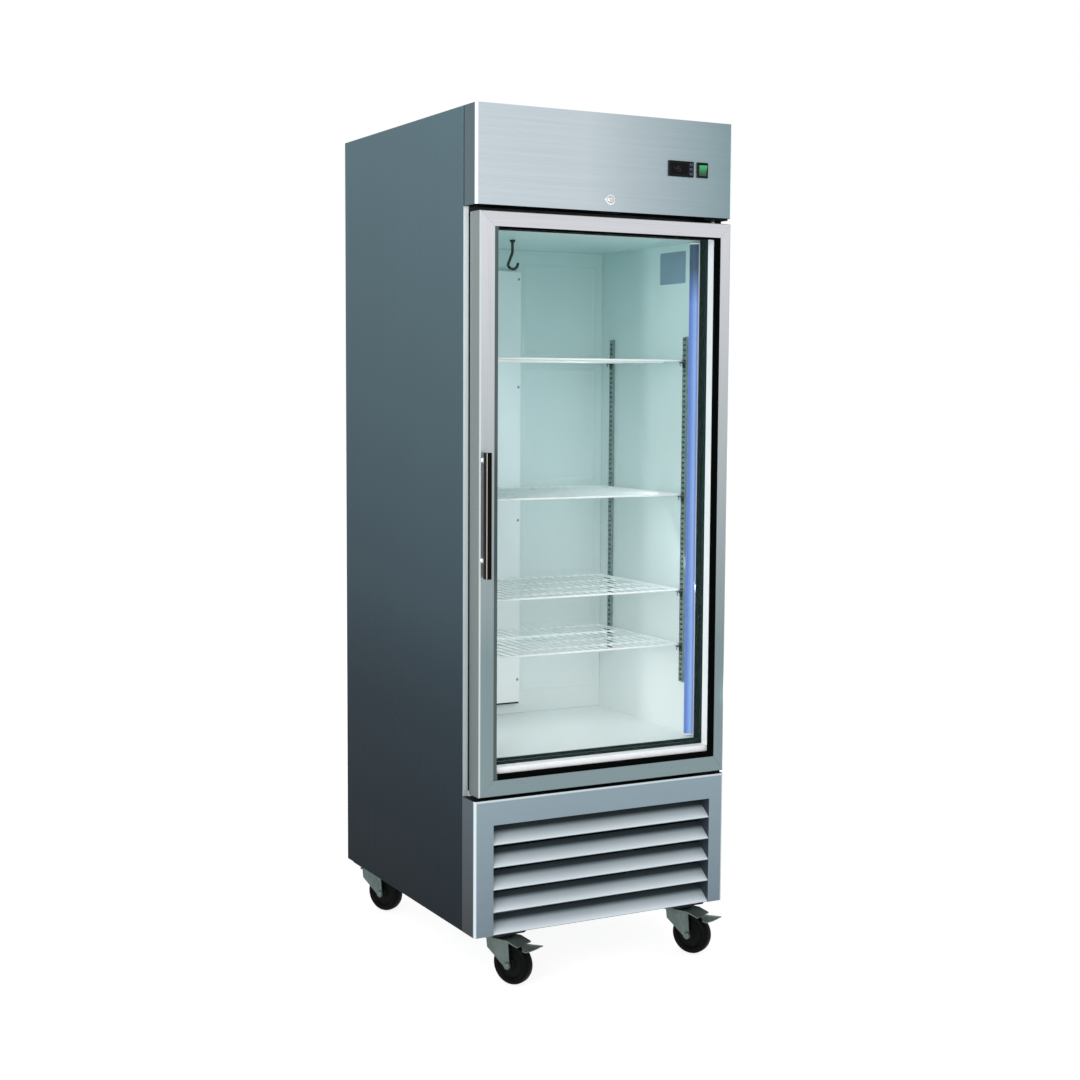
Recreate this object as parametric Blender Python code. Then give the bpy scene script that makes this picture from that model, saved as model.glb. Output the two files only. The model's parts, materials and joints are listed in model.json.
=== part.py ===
"""Single-door reach-in refrigerator on swivel casters, built as an assembly of separate pieces.

Metres, +Z up.  The origin is on the floor under the middle of the cabinet, -Y is the front
and +X is the hinge side.  Every moving piece has its origin, or its parent, on its joint axis.
"""
import math

import bmesh
import bpy
from mathutils import Matrix, Vector

# ---- driving dimensions -------------------------------------------------------------------
WIDTH = 0.686
DEPTH = 0.782
HEIGHT = 2.032
CASTER_HEIGHT = 0.127
FRONT = -0.372
BACK = FRONT + DEPTH
FRONT_ZONE = 0.066  # depth of the header, the door with its gasket, and the grille panel
BODY_FRONT = FRONT + FRONT_ZONE
HALF = WIDTH / 2

SHEET = 0.0012
GAP = 0.0003
FLANGE = 0.014
CORNER_RADIUS = 0.005

HEADER_BOTTOM = 1.808
GRILLE_TOP = 0.449
FOAM_BOTTOM = 0.452
FOAM_TOP = 1.820

CAVITY_HALF = 0.303
CAVITY_FLOOR = 0.532
CAVITY_CEILING = 1.757
CAVITY_BACK = 0.359
COVER_Y = 0.176  # front face of the evaporator cover
DUCT_HALF = 0.048
DUCT_PROUD = 0.0144
DUCT_BOTTOM = 0.565
DUCT_TOP = 1.700

DOOR_LEFT = -0.332
DOOR_RIGHT = 0.3415
DOOR_BOTTOM = 0.456
DOOR_TOP = 1.795
DOOR_DEPTH = 0.052
STILE_LEFT = 0.037
STILE_RIGHT = 0.0285
RAIL_TOP = 0.034
RAIL_BOTTOM = 0.038
DOOR_SHEET = 0.0015
LIP = 0.008
HINGE_X = 0.326
HINGE_Y = -0.338
PIN_RADIUS = 0.0045

SHELF_TOPS = (1.4705, 1.1373, 0.8975, 0.7600)
SHELF_HALF = 0.296
SHELF_FRONT = -0.2434
SHELF_BACK = 0.1586
SHELF_WIRES = 24
WIRE = 0.005
PILASTER_Y = (-0.242, 0.117)
PILASTER_BOTTOMS = (0.662, 0.695)
PILASTER_TOP = 1.526

LOCK_X = 0.003
LOCK_Z = 1.835
CAM_REACH = 0.052
CONTROL_Z = 1.9175
CONTROLLER_X = 0.196
SWITCH_X = 0.256
BEZEL_PROUD = 0.0045

GRILLE_LEFT = -0.294
GRILLE_RIGHT = 0.302
GRILLE_HEAD = 0.389
BLADE_COUNT = 5
BLADE_PITCH = 0.0533
BLADE_DEPTH = 0.045
BLADE_RISE = 0.034

WHEEL_RADIUS = 0.050
WHEEL_WIDTH = 0.032
TRAIL = 0.035
CASTER_TURN = math.radians(27)
FRONT_SWIVEL = (0.250, -0.3264)
REAR_SWIVEL = (0.2875, 0.3486)
PEDAL_PIVOT_Y = -0.0675
PEDAL_TIP_Y = -0.113
PEDAL_Z = 0.100

# ---- materials: colour, roughness, metallic -----------------------------------------------
FINISHES = {
    "slate_steel": ((0.115, 0.155, 0.175), 0.38, 0.6),
    "brushed_steel": ((0.50, 0.56, 0.58), 0.32, 0.9),
    "galvanised_steel": ((0.42, 0.44, 0.44), 0.50, 0.8),
    "white_liner": ((0.80, 0.86, 0.85), 0.45, 0.0),
    "insulation": ((0.80, 0.70, 0.42), 0.90, 0.0),
    "wire_white": ((0.85, 0.90, 0.90), 0.35, 0.0),
    "pilaster_steel": ((0.62, 0.65, 0.65), 0.40, 0.8),
    "aluminium": ((0.70, 0.72, 0.72), 0.35, 0.9),
    "black_trim": ((0.012, 0.013, 0.014), 0.45, 0.0),
    "rubber": ((0.030, 0.032, 0.034), 0.70, 0.0),
    "tyre": ((0.012, 0.012, 0.013), 0.55, 0.0),
    "zinc": ((0.30, 0.36, 0.35), 0.45, 0.8),
    "chrome": ((0.80, 0.82, 0.82), 0.15, 1.0),
    "glass": ((0.80, 0.92, 0.88), 0.05, 0.0),
    "led": ((0.45, 0.58, 0.95), 0.30, 0.0),
    "rocker_green": ((0.05, 0.45, 0.15), 0.30, 0.0),
    "key_grey": ((0.10, 0.13, 0.18), 0.45, 0.0),
    "copper_black": ((0.035, 0.035, 0.038), 0.50, 0.3),
}


def clear_scene():
    for obj in list(bpy.data.objects):
        bpy.data.objects.remove(obj, do_unlink=True)


def material(finish):
    """The finish's own Principled material, made once."""
    found = bpy.data.materials.get(finish)
    if found:
        return found
    colour, roughness, metallic = FINISHES[finish]
    made = bpy.data.materials.new(finish)
    made.use_nodes = True
    shader = made.node_tree.nodes["Principled BSDF"]
    shader.inputs["Base Color"].default_value = (*colour, 1.0)
    shader.inputs["Roughness"].default_value = roughness
    shader.inputs["Metallic"].default_value = metallic
    return made


# ---- mesh helpers -------------------------------------------------------------------------
def add_object(name, mesh, finish=None):
    obj = bpy.data.objects.new(name, mesh)
    bpy.context.scene.collection.objects.link(obj)
    if finish:
        mesh.materials.append(material(finish))
    return obj


def mesh_from(name, verts, faces):
    mesh = bpy.data.meshes.new(name)
    mesh.from_pydata(verts, [], faces)
    shell = bmesh.new()
    shell.from_mesh(mesh)
    bmesh.ops.recalc_face_normals(shell, faces=shell.faces)
    shell.to_mesh(mesh)
    shell.free()
    return mesh


def box(name, low, high, finish=None):
    """Axis-aligned block from its lowest to its highest corner."""
    verts = [(x, y, z) for x in (low[0], high[0]) for y in (low[1], high[1]) for z in (low[2], high[2])]
    faces = [(0, 1, 3, 2), (4, 6, 7, 5), (0, 4, 5, 1), (2, 3, 7, 6), (0, 2, 6, 4), (1, 5, 7, 3)]
    return add_object(name, mesh_from(name, verts, faces), finish)


def prism(name, outline, axis, start, end, finish=None):
    """A closed outline swept straight along X, Y or Z.

    The outline's two numbers are the other two coordinates, in X, Y, Z order.
    """
    def place(point, level):
        values = list(point)
        values.insert("XYZ".index(axis), level)
        return tuple(values)

    count = len(outline)
    verts = [place(p, start) for p in outline] + [place(p, end) for p in outline]
    faces = [(i, (i + 1) % count, count + (i + 1) % count, count + i) for i in range(count)]
    faces.append(tuple(range(count)))
    faces.append(tuple(range(count, 2 * count)))
    return add_object(name, mesh_from(name, verts, faces), finish)


def frame_ring(name, outer, inner, near, far, finish):
    """Rectangular frame in the XZ plane, each rectangle (left, right, bottom, top), from near to far."""
    def corners(rect, y):
        left, right, bottom, top = rect
        return [(left, y, bottom), (right, y, bottom), (right, y, top), (left, y, top)]

    verts = corners(outer, near) + corners(inner, near) + corners(outer, far) + corners(inner, far)
    faces = []
    for i in range(4):
        j = (i + 1) % 4
        faces.append((i, j, 4 + j, 4 + i))
        faces.append((8 + i, 8 + j, 12 + j, 12 + i))
        faces.append((i, j, 8 + j, 8 + i))
        faces.append((4 + i, 4 + j, 12 + j, 12 + i))
    return add_object(name, mesh_from(name, verts, faces), finish)


def lathe(name, profile, finish=None, segments=24):
    """Turned piece about Z from (radius, z) points; a radius of 0 closes on the axis."""
    verts, rings = [], []
    for radius, z in profile:
        if radius == 0:
            rings.append([len(verts)] * segments)
            verts.append((0, 0, z))
            continue
        rings.append(list(range(len(verts), len(verts) + segments)))
        for k in range(segments):
            turn = 2 * math.pi * k / segments
            verts.append((radius * math.cos(turn), radius * math.sin(turn), z))
    closed = profile[0][0] != 0
    pairs = list(zip(rings, rings[1:]))
    if closed:
        pairs.append((rings[-1], rings[0]))
    faces = []
    for lower, upper in pairs:
        for k in range(segments):
            n = (k + 1) % segments
            corners = [lower[k], lower[n], upper[n], upper[k]]
            face = [c for i, c in enumerate(corners) if c not in corners[:i]]
            if len(face) > 2:
                faces.append(tuple(face))
    obj = add_object(name, mesh_from(name, verts, faces), finish)
    smooth(obj)
    return obj


def smooth(obj):
    obj.data.shade_smooth()
    obj.data.set_sharp_from_angle(angle=math.radians(35))


def transform(obj, matrix):
    obj.data.transform(matrix)
    return obj


def lay_along_y(obj, centre):
    """Turn a piece made about Z so that its axis runs along +Y through a point."""
    turn = Matrix.Rotation(math.radians(-90), 4, "X")
    return transform(obj, Matrix.Translation(centre) @ turn)


def cylinder(name, radius, low, high, segments=16):
    """Plain round bar about Z; it is turned and placed afterwards."""
    return lathe(name, [(0, low), (radius, low), (radius, high), (0, high)], segments=segments)


def join_helpers(name, pieces):
    """Join helper meshes into one hidden operand of a Boolean."""
    joined = bmesh.new()
    for piece in pieces:
        joined.from_mesh(piece.data)
        bpy.data.objects.remove(piece, do_unlink=True)
    mesh = bpy.data.meshes.new(name)
    joined.to_mesh(mesh)
    joined.free()
    operand = add_object(name, mesh)
    operand.hide_render = True
    operand.display_type = "WIRE"
    return operand


def combine(obj, pieces, operation):
    label = {"UNION": "fuse", "DIFFERENCE": "cut"}[operation]
    modifier = obj.modifiers.new(f"{label}_{len(obj.modifiers)}", "BOOLEAN")
    modifier.operation = operation
    modifier.object = join_helpers(f"{label}_{obj.name}_{len(obj.modifiers)}", pieces)
    modifier.use_self = len(pieces) > 1
    return obj


def fuse(obj, *pieces):
    return combine(obj, pieces, "UNION")


def cut(obj, *pieces):
    return combine(obj, pieces, "DIFFERENCE")


def soften(obj, width, segments=2):
    bevel = obj.modifiers.new("edges", "BEVEL")
    bevel.width = width
    bevel.segments = segments
    bevel.limit_method = "ANGLE"
    return obj


def centred(centre, size):
    """Lowest and highest corner of a block from its centre and its size."""
    low = tuple(c - s / 2 for c, s in zip(centre, size))
    high = tuple(c + s / 2 for c, s in zip(centre, size))
    return low, high


def pivot_at(obj, point, parent=None):
    """Move an object's origin to its joint axis and, if given, hang it on its parent there."""
    point = Vector(point)
    followers = [m.object for m in obj.modifiers if m.type == "BOOLEAN"]
    for piece in [obj] + followers:
        piece.data.transform(Matrix.Translation(-point))
        piece.location = point - (parent.location if parent else Vector())
        piece.parent = parent
    return obj


def empty(name, location):
    guide = bpy.data.objects.new(name, None)
    bpy.context.scene.collection.objects.link(guide)
    guide.location = location
    return guide


# ---- cabinet ------------------------------------------------------------------------------
def make_side_panels():
    """Outer side sheets, each folded inwards at the front and at the back."""
    for side, name in ((-1, "side_panel_left"), (1, "side_panel_right")):
        face, inner, fold = side * HALF, side * (HALF - SHEET), side * (HALF - FLANGE)
        outline = [
            (face, BODY_FRONT + SHEET),
            (side * (HALF - SHEET), BODY_FRONT),
            (fold, BODY_FRONT),
            (fold, BODY_FRONT + SHEET),
            (inner, BODY_FRONT + SHEET),
            (inner, BACK - SHEET),
            (fold, BACK - SHEET),
            (fold, BACK),
            (face, BACK),
        ]
        prism(name, outline, "Z", CASTER_HEIGHT, HEIGHT, "slate_steel")


def make_top_and_back():
    inside = HALF - SHEET - GAP
    back_y = BACK - 2 * SHEET - GAP
    box(
        "top_panel",
        (-inside, BODY_FRONT + SHEET + GAP, HEIGHT - SHEET),
        (inside, BACK - SHEET - GAP, HEIGHT),
        "slate_steel",
    )
    rear = box(
        "rear_panel",
        (-inside, back_y, CASTER_HEIGHT),
        (inside, back_y + SHEET, HEIGHT - SHEET - GAP),
        "galvanised_steel",
    )
    vents = []
    for row in range(6):
        z = 0.185 + 0.036 * row
        vents.append(box("vent", *centred((0, back_y, z), (0.44, 0.02, 0.014))))
    cut(rear, *vents)


def make_base_tray():
    """Floor of the machine compartment, turned up all round, with a lip forward over the casters."""
    low = (-HALF + SHEET + GAP, BODY_FRONT + SHEET + GAP, CASTER_HEIGHT)
    high = (HALF - SHEET - GAP, BACK - 2 * SHEET - 2 * GAP, CASTER_HEIGHT + 0.025)
    wall = 0.0015
    tray = box("base_tray", low, high, "galvanised_steel")
    hollow = box(
        "hollow",
        (low[0] + wall, low[1] + wall, low[2] + wall),
        (high[0] - wall, high[1] - wall, high[2] + wall),
    )
    cut(tray, hollow)
    lip_low = (GRILLE_LEFT + 0.002, FRONT + BLADE_DEPTH + 0.0015, low[2])
    fuse(tray, box("lip", lip_low, (GRILLE_RIGHT - 0.002, low[1] + wall / 2, low[2] + wall)))


def make_insulation():
    block = box(
        "insulation_foam",
        (-HALF + SHEET + GAP, BODY_FRONT + SHEET + GAP, FOAM_BOTTOM),
        (HALF - SHEET - GAP, BACK - 2 * SHEET - 2 * GAP, FOAM_TOP),
        "insulation",
    )
    room = SHEET + GAP
    hollow = box(
        "hollow",
        (-CAVITY_HALF - room, BODY_FRONT - 0.01, CAVITY_FLOOR - room),
        (CAVITY_HALF + room, CAVITY_BACK + room, CAVITY_CEILING + room),
    )
    cut(block, hollow)


def make_liner():
    """White inner box with the face flange that the door gasket seals on."""
    liner = box(
        "inner_liner",
        (-CAVITY_HALF - SHEET, BODY_FRONT, CAVITY_FLOOR - SHEET),
        (CAVITY_HALF + SHEET, CAVITY_BACK + SHEET, CAVITY_CEILING + SHEET),
        "white_liner",
    )
    face = HALF - FLANGE - GAP
    fuse(liner, box("face", (-face, BODY_FRONT, GRILLE_TOP + GAP), (face, BODY_FRONT + SHEET, HEADER_BOTTOM)))
    cut(
        liner,
        box(
            "room",
            (-CAVITY_HALF, BODY_FRONT - 0.01, CAVITY_FLOOR),
            (CAVITY_HALF, CAVITY_BACK, CAVITY_CEILING),
        ),
    )


def make_evaporator_cover():
    """False back of the cavity with a hollow air duct down its middle."""
    cover = box(
        "evaporator_cover",
        (-CAVITY_HALF + GAP, COVER_Y, CAVITY_FLOOR + GAP),
        (CAVITY_HALF - GAP, COVER_Y + SHEET, CAVITY_CEILING - GAP),
        "white_liner",
    )
    front = COVER_Y - DUCT_PROUD
    fuse(cover, box("duct", (-DUCT_HALF, front, DUCT_BOTTOM), (DUCT_HALF, COVER_Y + SHEET / 2, DUCT_TOP)))
    channel = box(
        "channel",
        (-DUCT_HALF + SHEET, front + SHEET, DUCT_BOTTOM + SHEET),
        (DUCT_HALF - SHEET, COVER_Y + 0.01, DUCT_TOP - SHEET),
    )
    outlet = box(
        "outlet",
        (-DUCT_HALF + 0.006, front + 0.003, DUCT_BOTTOM - 0.01),
        (DUCT_HALF - 0.006, COVER_Y - 0.003, DUCT_BOTTOM + 0.005),
    )
    cut(cover, channel, outlet)


def make_pilasters():
    """Upright shelf standards on the side walls."""
    width, proud = 0.018, 0.006
    for side, side_name in ((-1, "left"), (1, "right")):
        for y, bottom, place in zip(PILASTER_Y, PILASTER_BOTTOMS, ("front", "rear")):
            inner, outer = side * (CAVITY_HALF - GAP - proud), side * (CAVITY_HALF - GAP)
            box(
                f"pilaster_{side_name}_{place}",
                (min(inner, outer), y - width / 2, bottom),
                (max(inner, outer), y + width / 2, PILASTER_TOP),
                "pilaster_steel",
            )


def make_shelf(number, top):
    """Wire shelf: a square-wire rim, front-to-back wires and one cross wire."""
    low, high = top - WIRE, top
    shelf = box(
        f"shelf_{number}",
        (-SHELF_HALF, SHELF_FRONT, low),
        (SHELF_HALF, SHELF_FRONT + WIRE, high),
        "wire_white",
    )
    bars = [box("bar", (-SHELF_HALF, SHELF_BACK - WIRE, low), (SHELF_HALF, SHELF_BACK, high))]
    for end in (-SHELF_HALF, SHELF_HALF - WIRE):
        bars.append(box("bar", (end, SHELF_FRONT + WIRE / 2, low), (end + WIRE, SHELF_BACK - WIRE / 2, high)))
    thin = 0.7 * WIRE
    pitch = 2 * SHELF_HALF / SHELF_WIRES
    for wire in range(1, SHELF_WIRES):
        x = -SHELF_HALF + pitch * wire
        bars.append(
            box(
                "bar",
                (x - thin / 2, SHELF_FRONT + WIRE / 2, high - 0.9 * WIRE),
                (x + thin / 2, SHELF_BACK - WIRE / 2, high - 0.2 * WIRE),
            )
        )
    fuse(shelf, *bars)
    pivot_at(shelf, (0, SHELF_FRONT, low))


def make_led_strip():
    """Vertical light in the front corner on the hinge side."""
    wall, near = CAVITY_HALF - GAP, BODY_FRONT + 0.0046
    outline = [
        (wall, near),
        (wall, near + 0.030),
        (wall - 0.010, near + 0.030),
        (wall - 0.0205, near + 0.021),
        (wall - 0.0205, near + 0.009),
        (wall - 0.010, near),
    ]
    prism("led_strip", outline, "Z", CAVITY_FLOOR + 0.004, CAVITY_CEILING - 0.004, "led")


def make_ceiling_hook():
    """Bent-wire hook under the ceiling."""
    x, y, radius, bowl = -0.110, -0.097, 0.0035, 0.014
    top, bottom = CAVITY_CEILING - GAP, CAVITY_CEILING - 0.074
    curve = bpy.data.curves.new("ceiling_hook", "CURVE")
    curve.dimensions = "3D"
    curve.bevel_depth = radius
    curve.bevel_resolution = 2
    curve.use_fill_caps = True
    route = [(x, y, top), (x, y, top - 0.032)]
    centre = Vector((x + 0.001, y, bottom + bowl + radius))
    for step in range(9):
        turn = math.radians(200 + 170 * step / 8)
        route.append(centre + bowl * Vector((math.cos(turn), 0, math.sin(turn))))
    spline = curve.splines.new("POLY")
    spline.points.add(len(route) - 1)
    for point, place in zip(spline.points, route):
        point.co = (*place, 1)
    hook = bpy.data.objects.new("ceiling_hook", curve)
    bpy.context.scene.collection.objects.link(hook)
    curve.materials.append(material("black_trim"))


# ---- front header, controls and lock ------------------------------------------------------
def front_shell(name, bottom, top, finish):
    """Folded front panel: front, two side returns, top and bottom flanges, open behind."""
    def rounded(inset, behind):
        radius = CORNER_RADIUS - inset
        left, right, near = -HALF + inset, HALF - inset, FRONT + inset
        outline = [(left, behind)]
        for centre_x, first in ((left + radius, 180), (right - radius, 270)):
            for step in range(4):
                turn = math.radians(first + 30 * step)
                outline.append((centre_x + radius * math.cos(turn), near + radius + radius * math.sin(turn)))
        outline.append((right, behind))
        return outline

    shell = prism(name, rounded(0, BODY_FRONT - GAP), "Z", bottom, top, finish)
    cut(shell, prism("hollow", rounded(SHEET, BODY_FRONT + 0.01), "Z", bottom + SHEET, top - SHEET))
    return shell


def make_header():
    hood = front_shell("header_hood", HEADER_BOTTOM, HEIGHT, "brushed_steel")
    window = centred((CONTROLLER_X, FRONT, CONTROL_Z), (0.0626, 0.02, 0.0296))
    opening = centred((SWITCH_X, FRONT, CONTROL_Z), (0.0246, 0.02, 0.0306))
    lock_hole = lay_along_y(cylinder("lock_hole", 0.0098, -0.01, 0.01), (LOCK_X, FRONT, LOCK_Z))
    slot = box("slot", (LOCK_X - 0.010, -0.350, HEADER_BOTTOM - 0.01), (LOCK_X + 0.047, -0.340, HEADER_BOTTOM + 0.01))
    cut(hood, box("window", *window), box("opening", *opening), lock_hole, slot)


def make_controller():
    """Thermostat housing through the header, its keys in pockets in the bezel."""
    near = FRONT - BEZEL_PROUD
    back = FRONT - GAP
    bezel = box(
        "controller_body",
        (CONTROLLER_X - 0.035, near, CONTROL_Z - 0.0185),
        (CONTROLLER_X + 0.035, back, CONTROL_Z + 0.0185),
        "black_trim",
    )
    body = box(
        "body",
        (CONTROLLER_X - 0.031, back - 0.001, CONTROL_Z - 0.0145),
        (CONTROLLER_X + 0.031, FRONT + 0.058, CONTROL_Z + 0.0145),
    )
    fuse(bezel, body)
    display = box(
        "display",
        (CONTROLLER_X - 0.031, near - 0.001, CONTROL_Z - 0.013),
        (CONTROLLER_X + 0.018, near + 0.001, CONTROL_Z + 0.013),
    )
    key_x, key_size, travel = CONTROLLER_X + 0.0265, (0.0090, 0.0022, 0.0070), 0.0008
    pockets = []
    for name, lift in (("key_up", 0.0110), ("key_set", 0.0), ("key_down", -0.0110)):
        middle = (key_x, near + key_size[1] / 2 - travel, CONTROL_Z + lift)
        pocket = (key_size[0] + 2 * GAP, 2 * key_size[1] + 2 * GAP, key_size[2] + 2 * GAP)
        pockets.append(box("pocket", *centred((key_x, near, middle[2]), pocket)))
        key = box(name, *centred(middle, key_size), "key_grey")
        pivot_at(key, middle)
    cut(bezel, display, *pockets)


def make_switch():
    """Rocker switch; the rocker turns about X inside its housing."""
    near, back = FRONT - BEZEL_PROUD, FRONT - GAP
    housing = box(
        "switch_housing",
        (SWITCH_X - 0.015, near, CONTROL_Z - 0.018),
        (SWITCH_X + 0.015, back, CONTROL_Z + 0.018),
        "black_trim",
    )
    fuse(
        housing,
        box(
            "body",
            (SWITCH_X - 0.012, back - 0.001, CONTROL_Z - 0.015),
            (SWITCH_X + 0.012, FRONT + 0.030, CONTROL_Z + 0.015),
        ),
    )
    cut(housing, box("pocket", *centred((SWITCH_X, FRONT, CONTROL_Z), (0.0206, 0.026, 0.0280))))
    tip, waist, heel = 0.0125, 0.0052, 0.0060
    outline = [(-waist - 0.0022, tip), (-waist, 0), (-waist - 0.0022, -tip), (0.001, -tip), (heel, 0), (0.001, tip)]
    rocker = prism("switch_rocker", outline, "X", -0.010, 0.010, "rocker_green")
    pivot = Vector((SWITCH_X, FRONT + 0.0005, CONTROL_Z))
    transform(rocker, Matrix.Rotation(math.radians(9), 4, "X"))
    rocker.location = pivot


def make_lock():
    """Cam lock: a fixed barrel, and a key plug whose cam drops through slots into the door."""
    barrel = lathe(
        "lock_barrel",
        [(0.0070, -0.0035), (0.0118, -0.0035), (0.0125, -0.0025), (0.0125, -GAP)]
        + [(0.0095, -GAP), (0.0095, 0.0240), (0.0070, 0.0240)],
        "chrome",
    )
    lay_along_y(barrel, (LOCK_X, FRONT, LOCK_Z))
    plug = lathe("lock_plug", [(0, -0.0042), (0.0058, -0.0042), (0.0066, -0.0034), (0.0066, 0.0285), (0, 0.0285)], "chrome")
    lay_along_y(plug, (LOCK_X, FRONT, LOCK_Z))
    cam = box(
        "cam",
        (LOCK_X - 0.008, FRONT + 0.0255, LOCK_Z - 0.007),
        (LOCK_X + CAM_REACH, FRONT + 0.0285 - 0.0005, LOCK_Z + 0.007),
    )
    fuse(plug, cam)
    cut(plug, box("keyway", *centred((LOCK_X, FRONT - 0.0042, LOCK_Z), (0.0018, 0.006, 0.0085))))
    pivot_at(plug, (LOCK_X, FRONT, LOCK_Z))


# ---- grille panel -------------------------------------------------------------------------
def make_grille():
    """Lower front panel with slanted louvre blades between two folded cheeks."""
    panel = front_shell("grille_panel", CASTER_HEIGHT, GRILLE_TOP, "brushed_steel")
    cut(
        panel,
        box("opening", (GRILLE_LEFT, FRONT - 0.01, CASTER_HEIGHT - 0.01), (GRILLE_RIGHT, BODY_FRONT + 0.01, GRILLE_HEAD)),
    )
    near, far = FRONT + SHEET / 2, FRONT + BLADE_DEPTH
    pieces = []
    for x in (GRILLE_LEFT - SHEET, GRILLE_RIGHT):
        pieces.append(box("cheek", (x, near, CASTER_HEIGHT + GAP), (x + SHEET, far + 0.001, GRILLE_HEAD + 0.002)))
    for number in range(BLADE_COUNT):
        z = CASTER_HEIGHT + 0.001 + BLADE_PITCH * number
        outline = [(near, z), (far, z + BLADE_RISE), (far, z + BLADE_RISE + SHEET), (near, z + SHEET)]
        pieces.append(prism("blade", outline, "X", GRILLE_LEFT - SHEET / 2, GRILLE_RIGHT + SHEET / 2))
    fuse(panel, *pieces)


# ---- door ---------------------------------------------------------------------------------
def member_profile(width):
    """Folded frame section: (distance in from the door's edge, depth behind its front)."""
    radius = 0.003
    arc = []
    for step in range(4):
        turn = math.radians(30 * step)
        arc.append((radius - radius * math.cos(turn), radius - radius * math.sin(turn)))
    skin = DOOR_SHEET
    return (
        [(0, DOOR_DEPTH)]
        + arc
        + [(width, 0), (width, LIP), (width - skin, LIP), (width - skin, skin)]
        + [(skin, skin), (skin, DOOR_DEPTH)]
    )


def door_member(name, side):
    """One of the four frame members, mitred at both ends."""
    widths = {"left": STILE_LEFT, "right": STILE_RIGHT, "top": RAIL_TOP, "bottom": RAIL_BOTTOM}
    width = widths[side]
    ends = ("bottom", "top") if side in ("left", "right") else ("left", "right")
    edge = {"left": DOOR_LEFT, "right": DOOR_RIGHT, "top": DOOR_TOP, "bottom": DOOR_BOTTOM}
    inward = {"left": 1, "right": -1, "top": -1, "bottom": 1}
    profile = member_profile(width)
    verts = []
    for end in ends:
        for across, depth in profile:
            along = edge[end] + inward[end] * (widths[end] * across / width + GAP / 2)
            flat = edge[side] + inward[side] * across
            y = FRONT + depth
            verts.append((flat, y, along) if side in ("left", "right") else (along, y, flat))
    count = len(profile)
    faces = [(i, (i + 1) % count, count + (i + 1) % count, count + i) for i in range(count)]
    faces.append(tuple(range(count)))
    faces.append(tuple(range(count, 2 * count)))
    return add_object(name, mesh_from(name, verts, faces), "brushed_steel")


def door_rect(left, right, bottom, top):
    """A rectangle set in from the door's four edges."""
    return (DOOR_LEFT + left, DOOR_RIGHT - right, DOOR_BOTTOM + bottom, DOOR_TOP - top)


def pane(name, depth, inset, thickness=0.004):
    left, right, bottom, top = inset
    return box(name, (left, FRONT + depth, bottom), (right, FRONT + depth + thickness, top), "glass")


def make_handle():
    """Black bar pull on two round posts."""
    x, low, high = DOOR_LEFT + 0.0085, 0.966, 1.253
    stand_off, deep, wide = 0.014, 0.019, 0.0135
    bar = box(
        "door_handle",
        (x - wide / 2, FRONT - stand_off - deep, low),
        (x + wide / 2, FRONT - stand_off, high),
        "black_trim",
    )
    soften(bar, 0.004, 3)
    posts = []
    for z in (low + 0.041, high - 0.018):
        post = cylinder("post", 0.0045, -0.003, stand_off - GAP)
        posts.append(lay_along_y(post, (x, FRONT - stand_off, z)))
    return fuse(bar, *posts)


def make_door():
    axis = empty("door_axis", (HINGE_X, HINGE_Y, 0))
    members = [door_member(f"door_{'stile' if side in ('left', 'right') else 'rail'}_{side}", side)
               for side in ("left", "right", "top", "bottom")]
    hole_radius = PIN_RADIUS + 0.0005
    cam_slot = box("cam_slot", (LOCK_X - 0.010, -0.350, DOOR_TOP - 0.01), (LOCK_X + 0.036, -0.340, DOOR_TOP + 0.01))
    for member, z in ((members[2], DOOR_TOP), (members[3], DOOR_BOTTOM)):
        hole = transform(cylinder("pin_hole", hole_radius, -0.005, 0.005), Matrix.Translation((HINGE_X, HINGE_Y, z)))
        cutters = [hole] + ([cam_slot] if z == DOOR_TOP else [])
        cut(member, *cutters)

    opening = door_rect(STILE_LEFT, STILE_RIGHT, RAIL_BOTTOM, RAIL_TOP)
    left, right, bottom, top = opening
    fitted = (left + GAP, right - GAP, bottom + GAP, top - GAP)
    glazed = (left - 0.005, right + 0.005, bottom - 0.005, top + 0.005)
    clear = (left + 0.009, right - 0.015, bottom + 0.014, top - 0.005)
    pieces = list(members)
    pieces.append(frame_ring("glazing_bead", fitted, clear, FRONT + 0.0008, FRONT + LIP, "black_trim"))
    pieces.append(pane("glass_front", LIP + GAP, glazed))
    spacer_out = (left - 0.002, right + 0.002, bottom - 0.002, top + 0.013)
    spacer_in = (left + 0.010, right - 0.010, bottom + 0.027, top + 0.001)
    spacer_near = FRONT + LIP + 2 * GAP + 0.004
    spacer_far = FRONT + 0.0400
    pieces.append(frame_ring("glass_spacer", spacer_out, spacer_in, spacer_near, spacer_far, "aluminium"))
    pieces.append(pane("glass_rear", 0.0400 + GAP, glazed))
    skin = DOOR_SHEET + GAP
    inner_out = door_rect(skin, skin, skin, skin)
    inner_in = (left + 0.005, right - 0.010, bottom + 0.033, top - 0.004)
    inner_near = FRONT + 0.0443 + GAP
    inner_far = FRONT + DOOR_DEPTH - GAP
    pieces.append(frame_ring("door_inner_frame", inner_out, inner_in, inner_near, inner_far, "black_trim"))
    seal_out = (DOOR_LEFT + 0.0025, HINGE_X - 0.0005, DOOR_BOTTOM + 0.007, DOOR_TOP - 0.007)
    seal_in = (seal_out[0] + 0.014, seal_out[1] - 0.014, seal_out[2] + 0.014, seal_out[3] - 0.014)
    pieces.append(frame_ring("door_gasket", seal_out, seal_in, FRONT + DOOR_DEPTH, BODY_FRONT - GAP, "rubber"))
    pieces.append(make_handle())
    for piece in pieces:
        pivot_at(piece, axis.location, axis)


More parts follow.
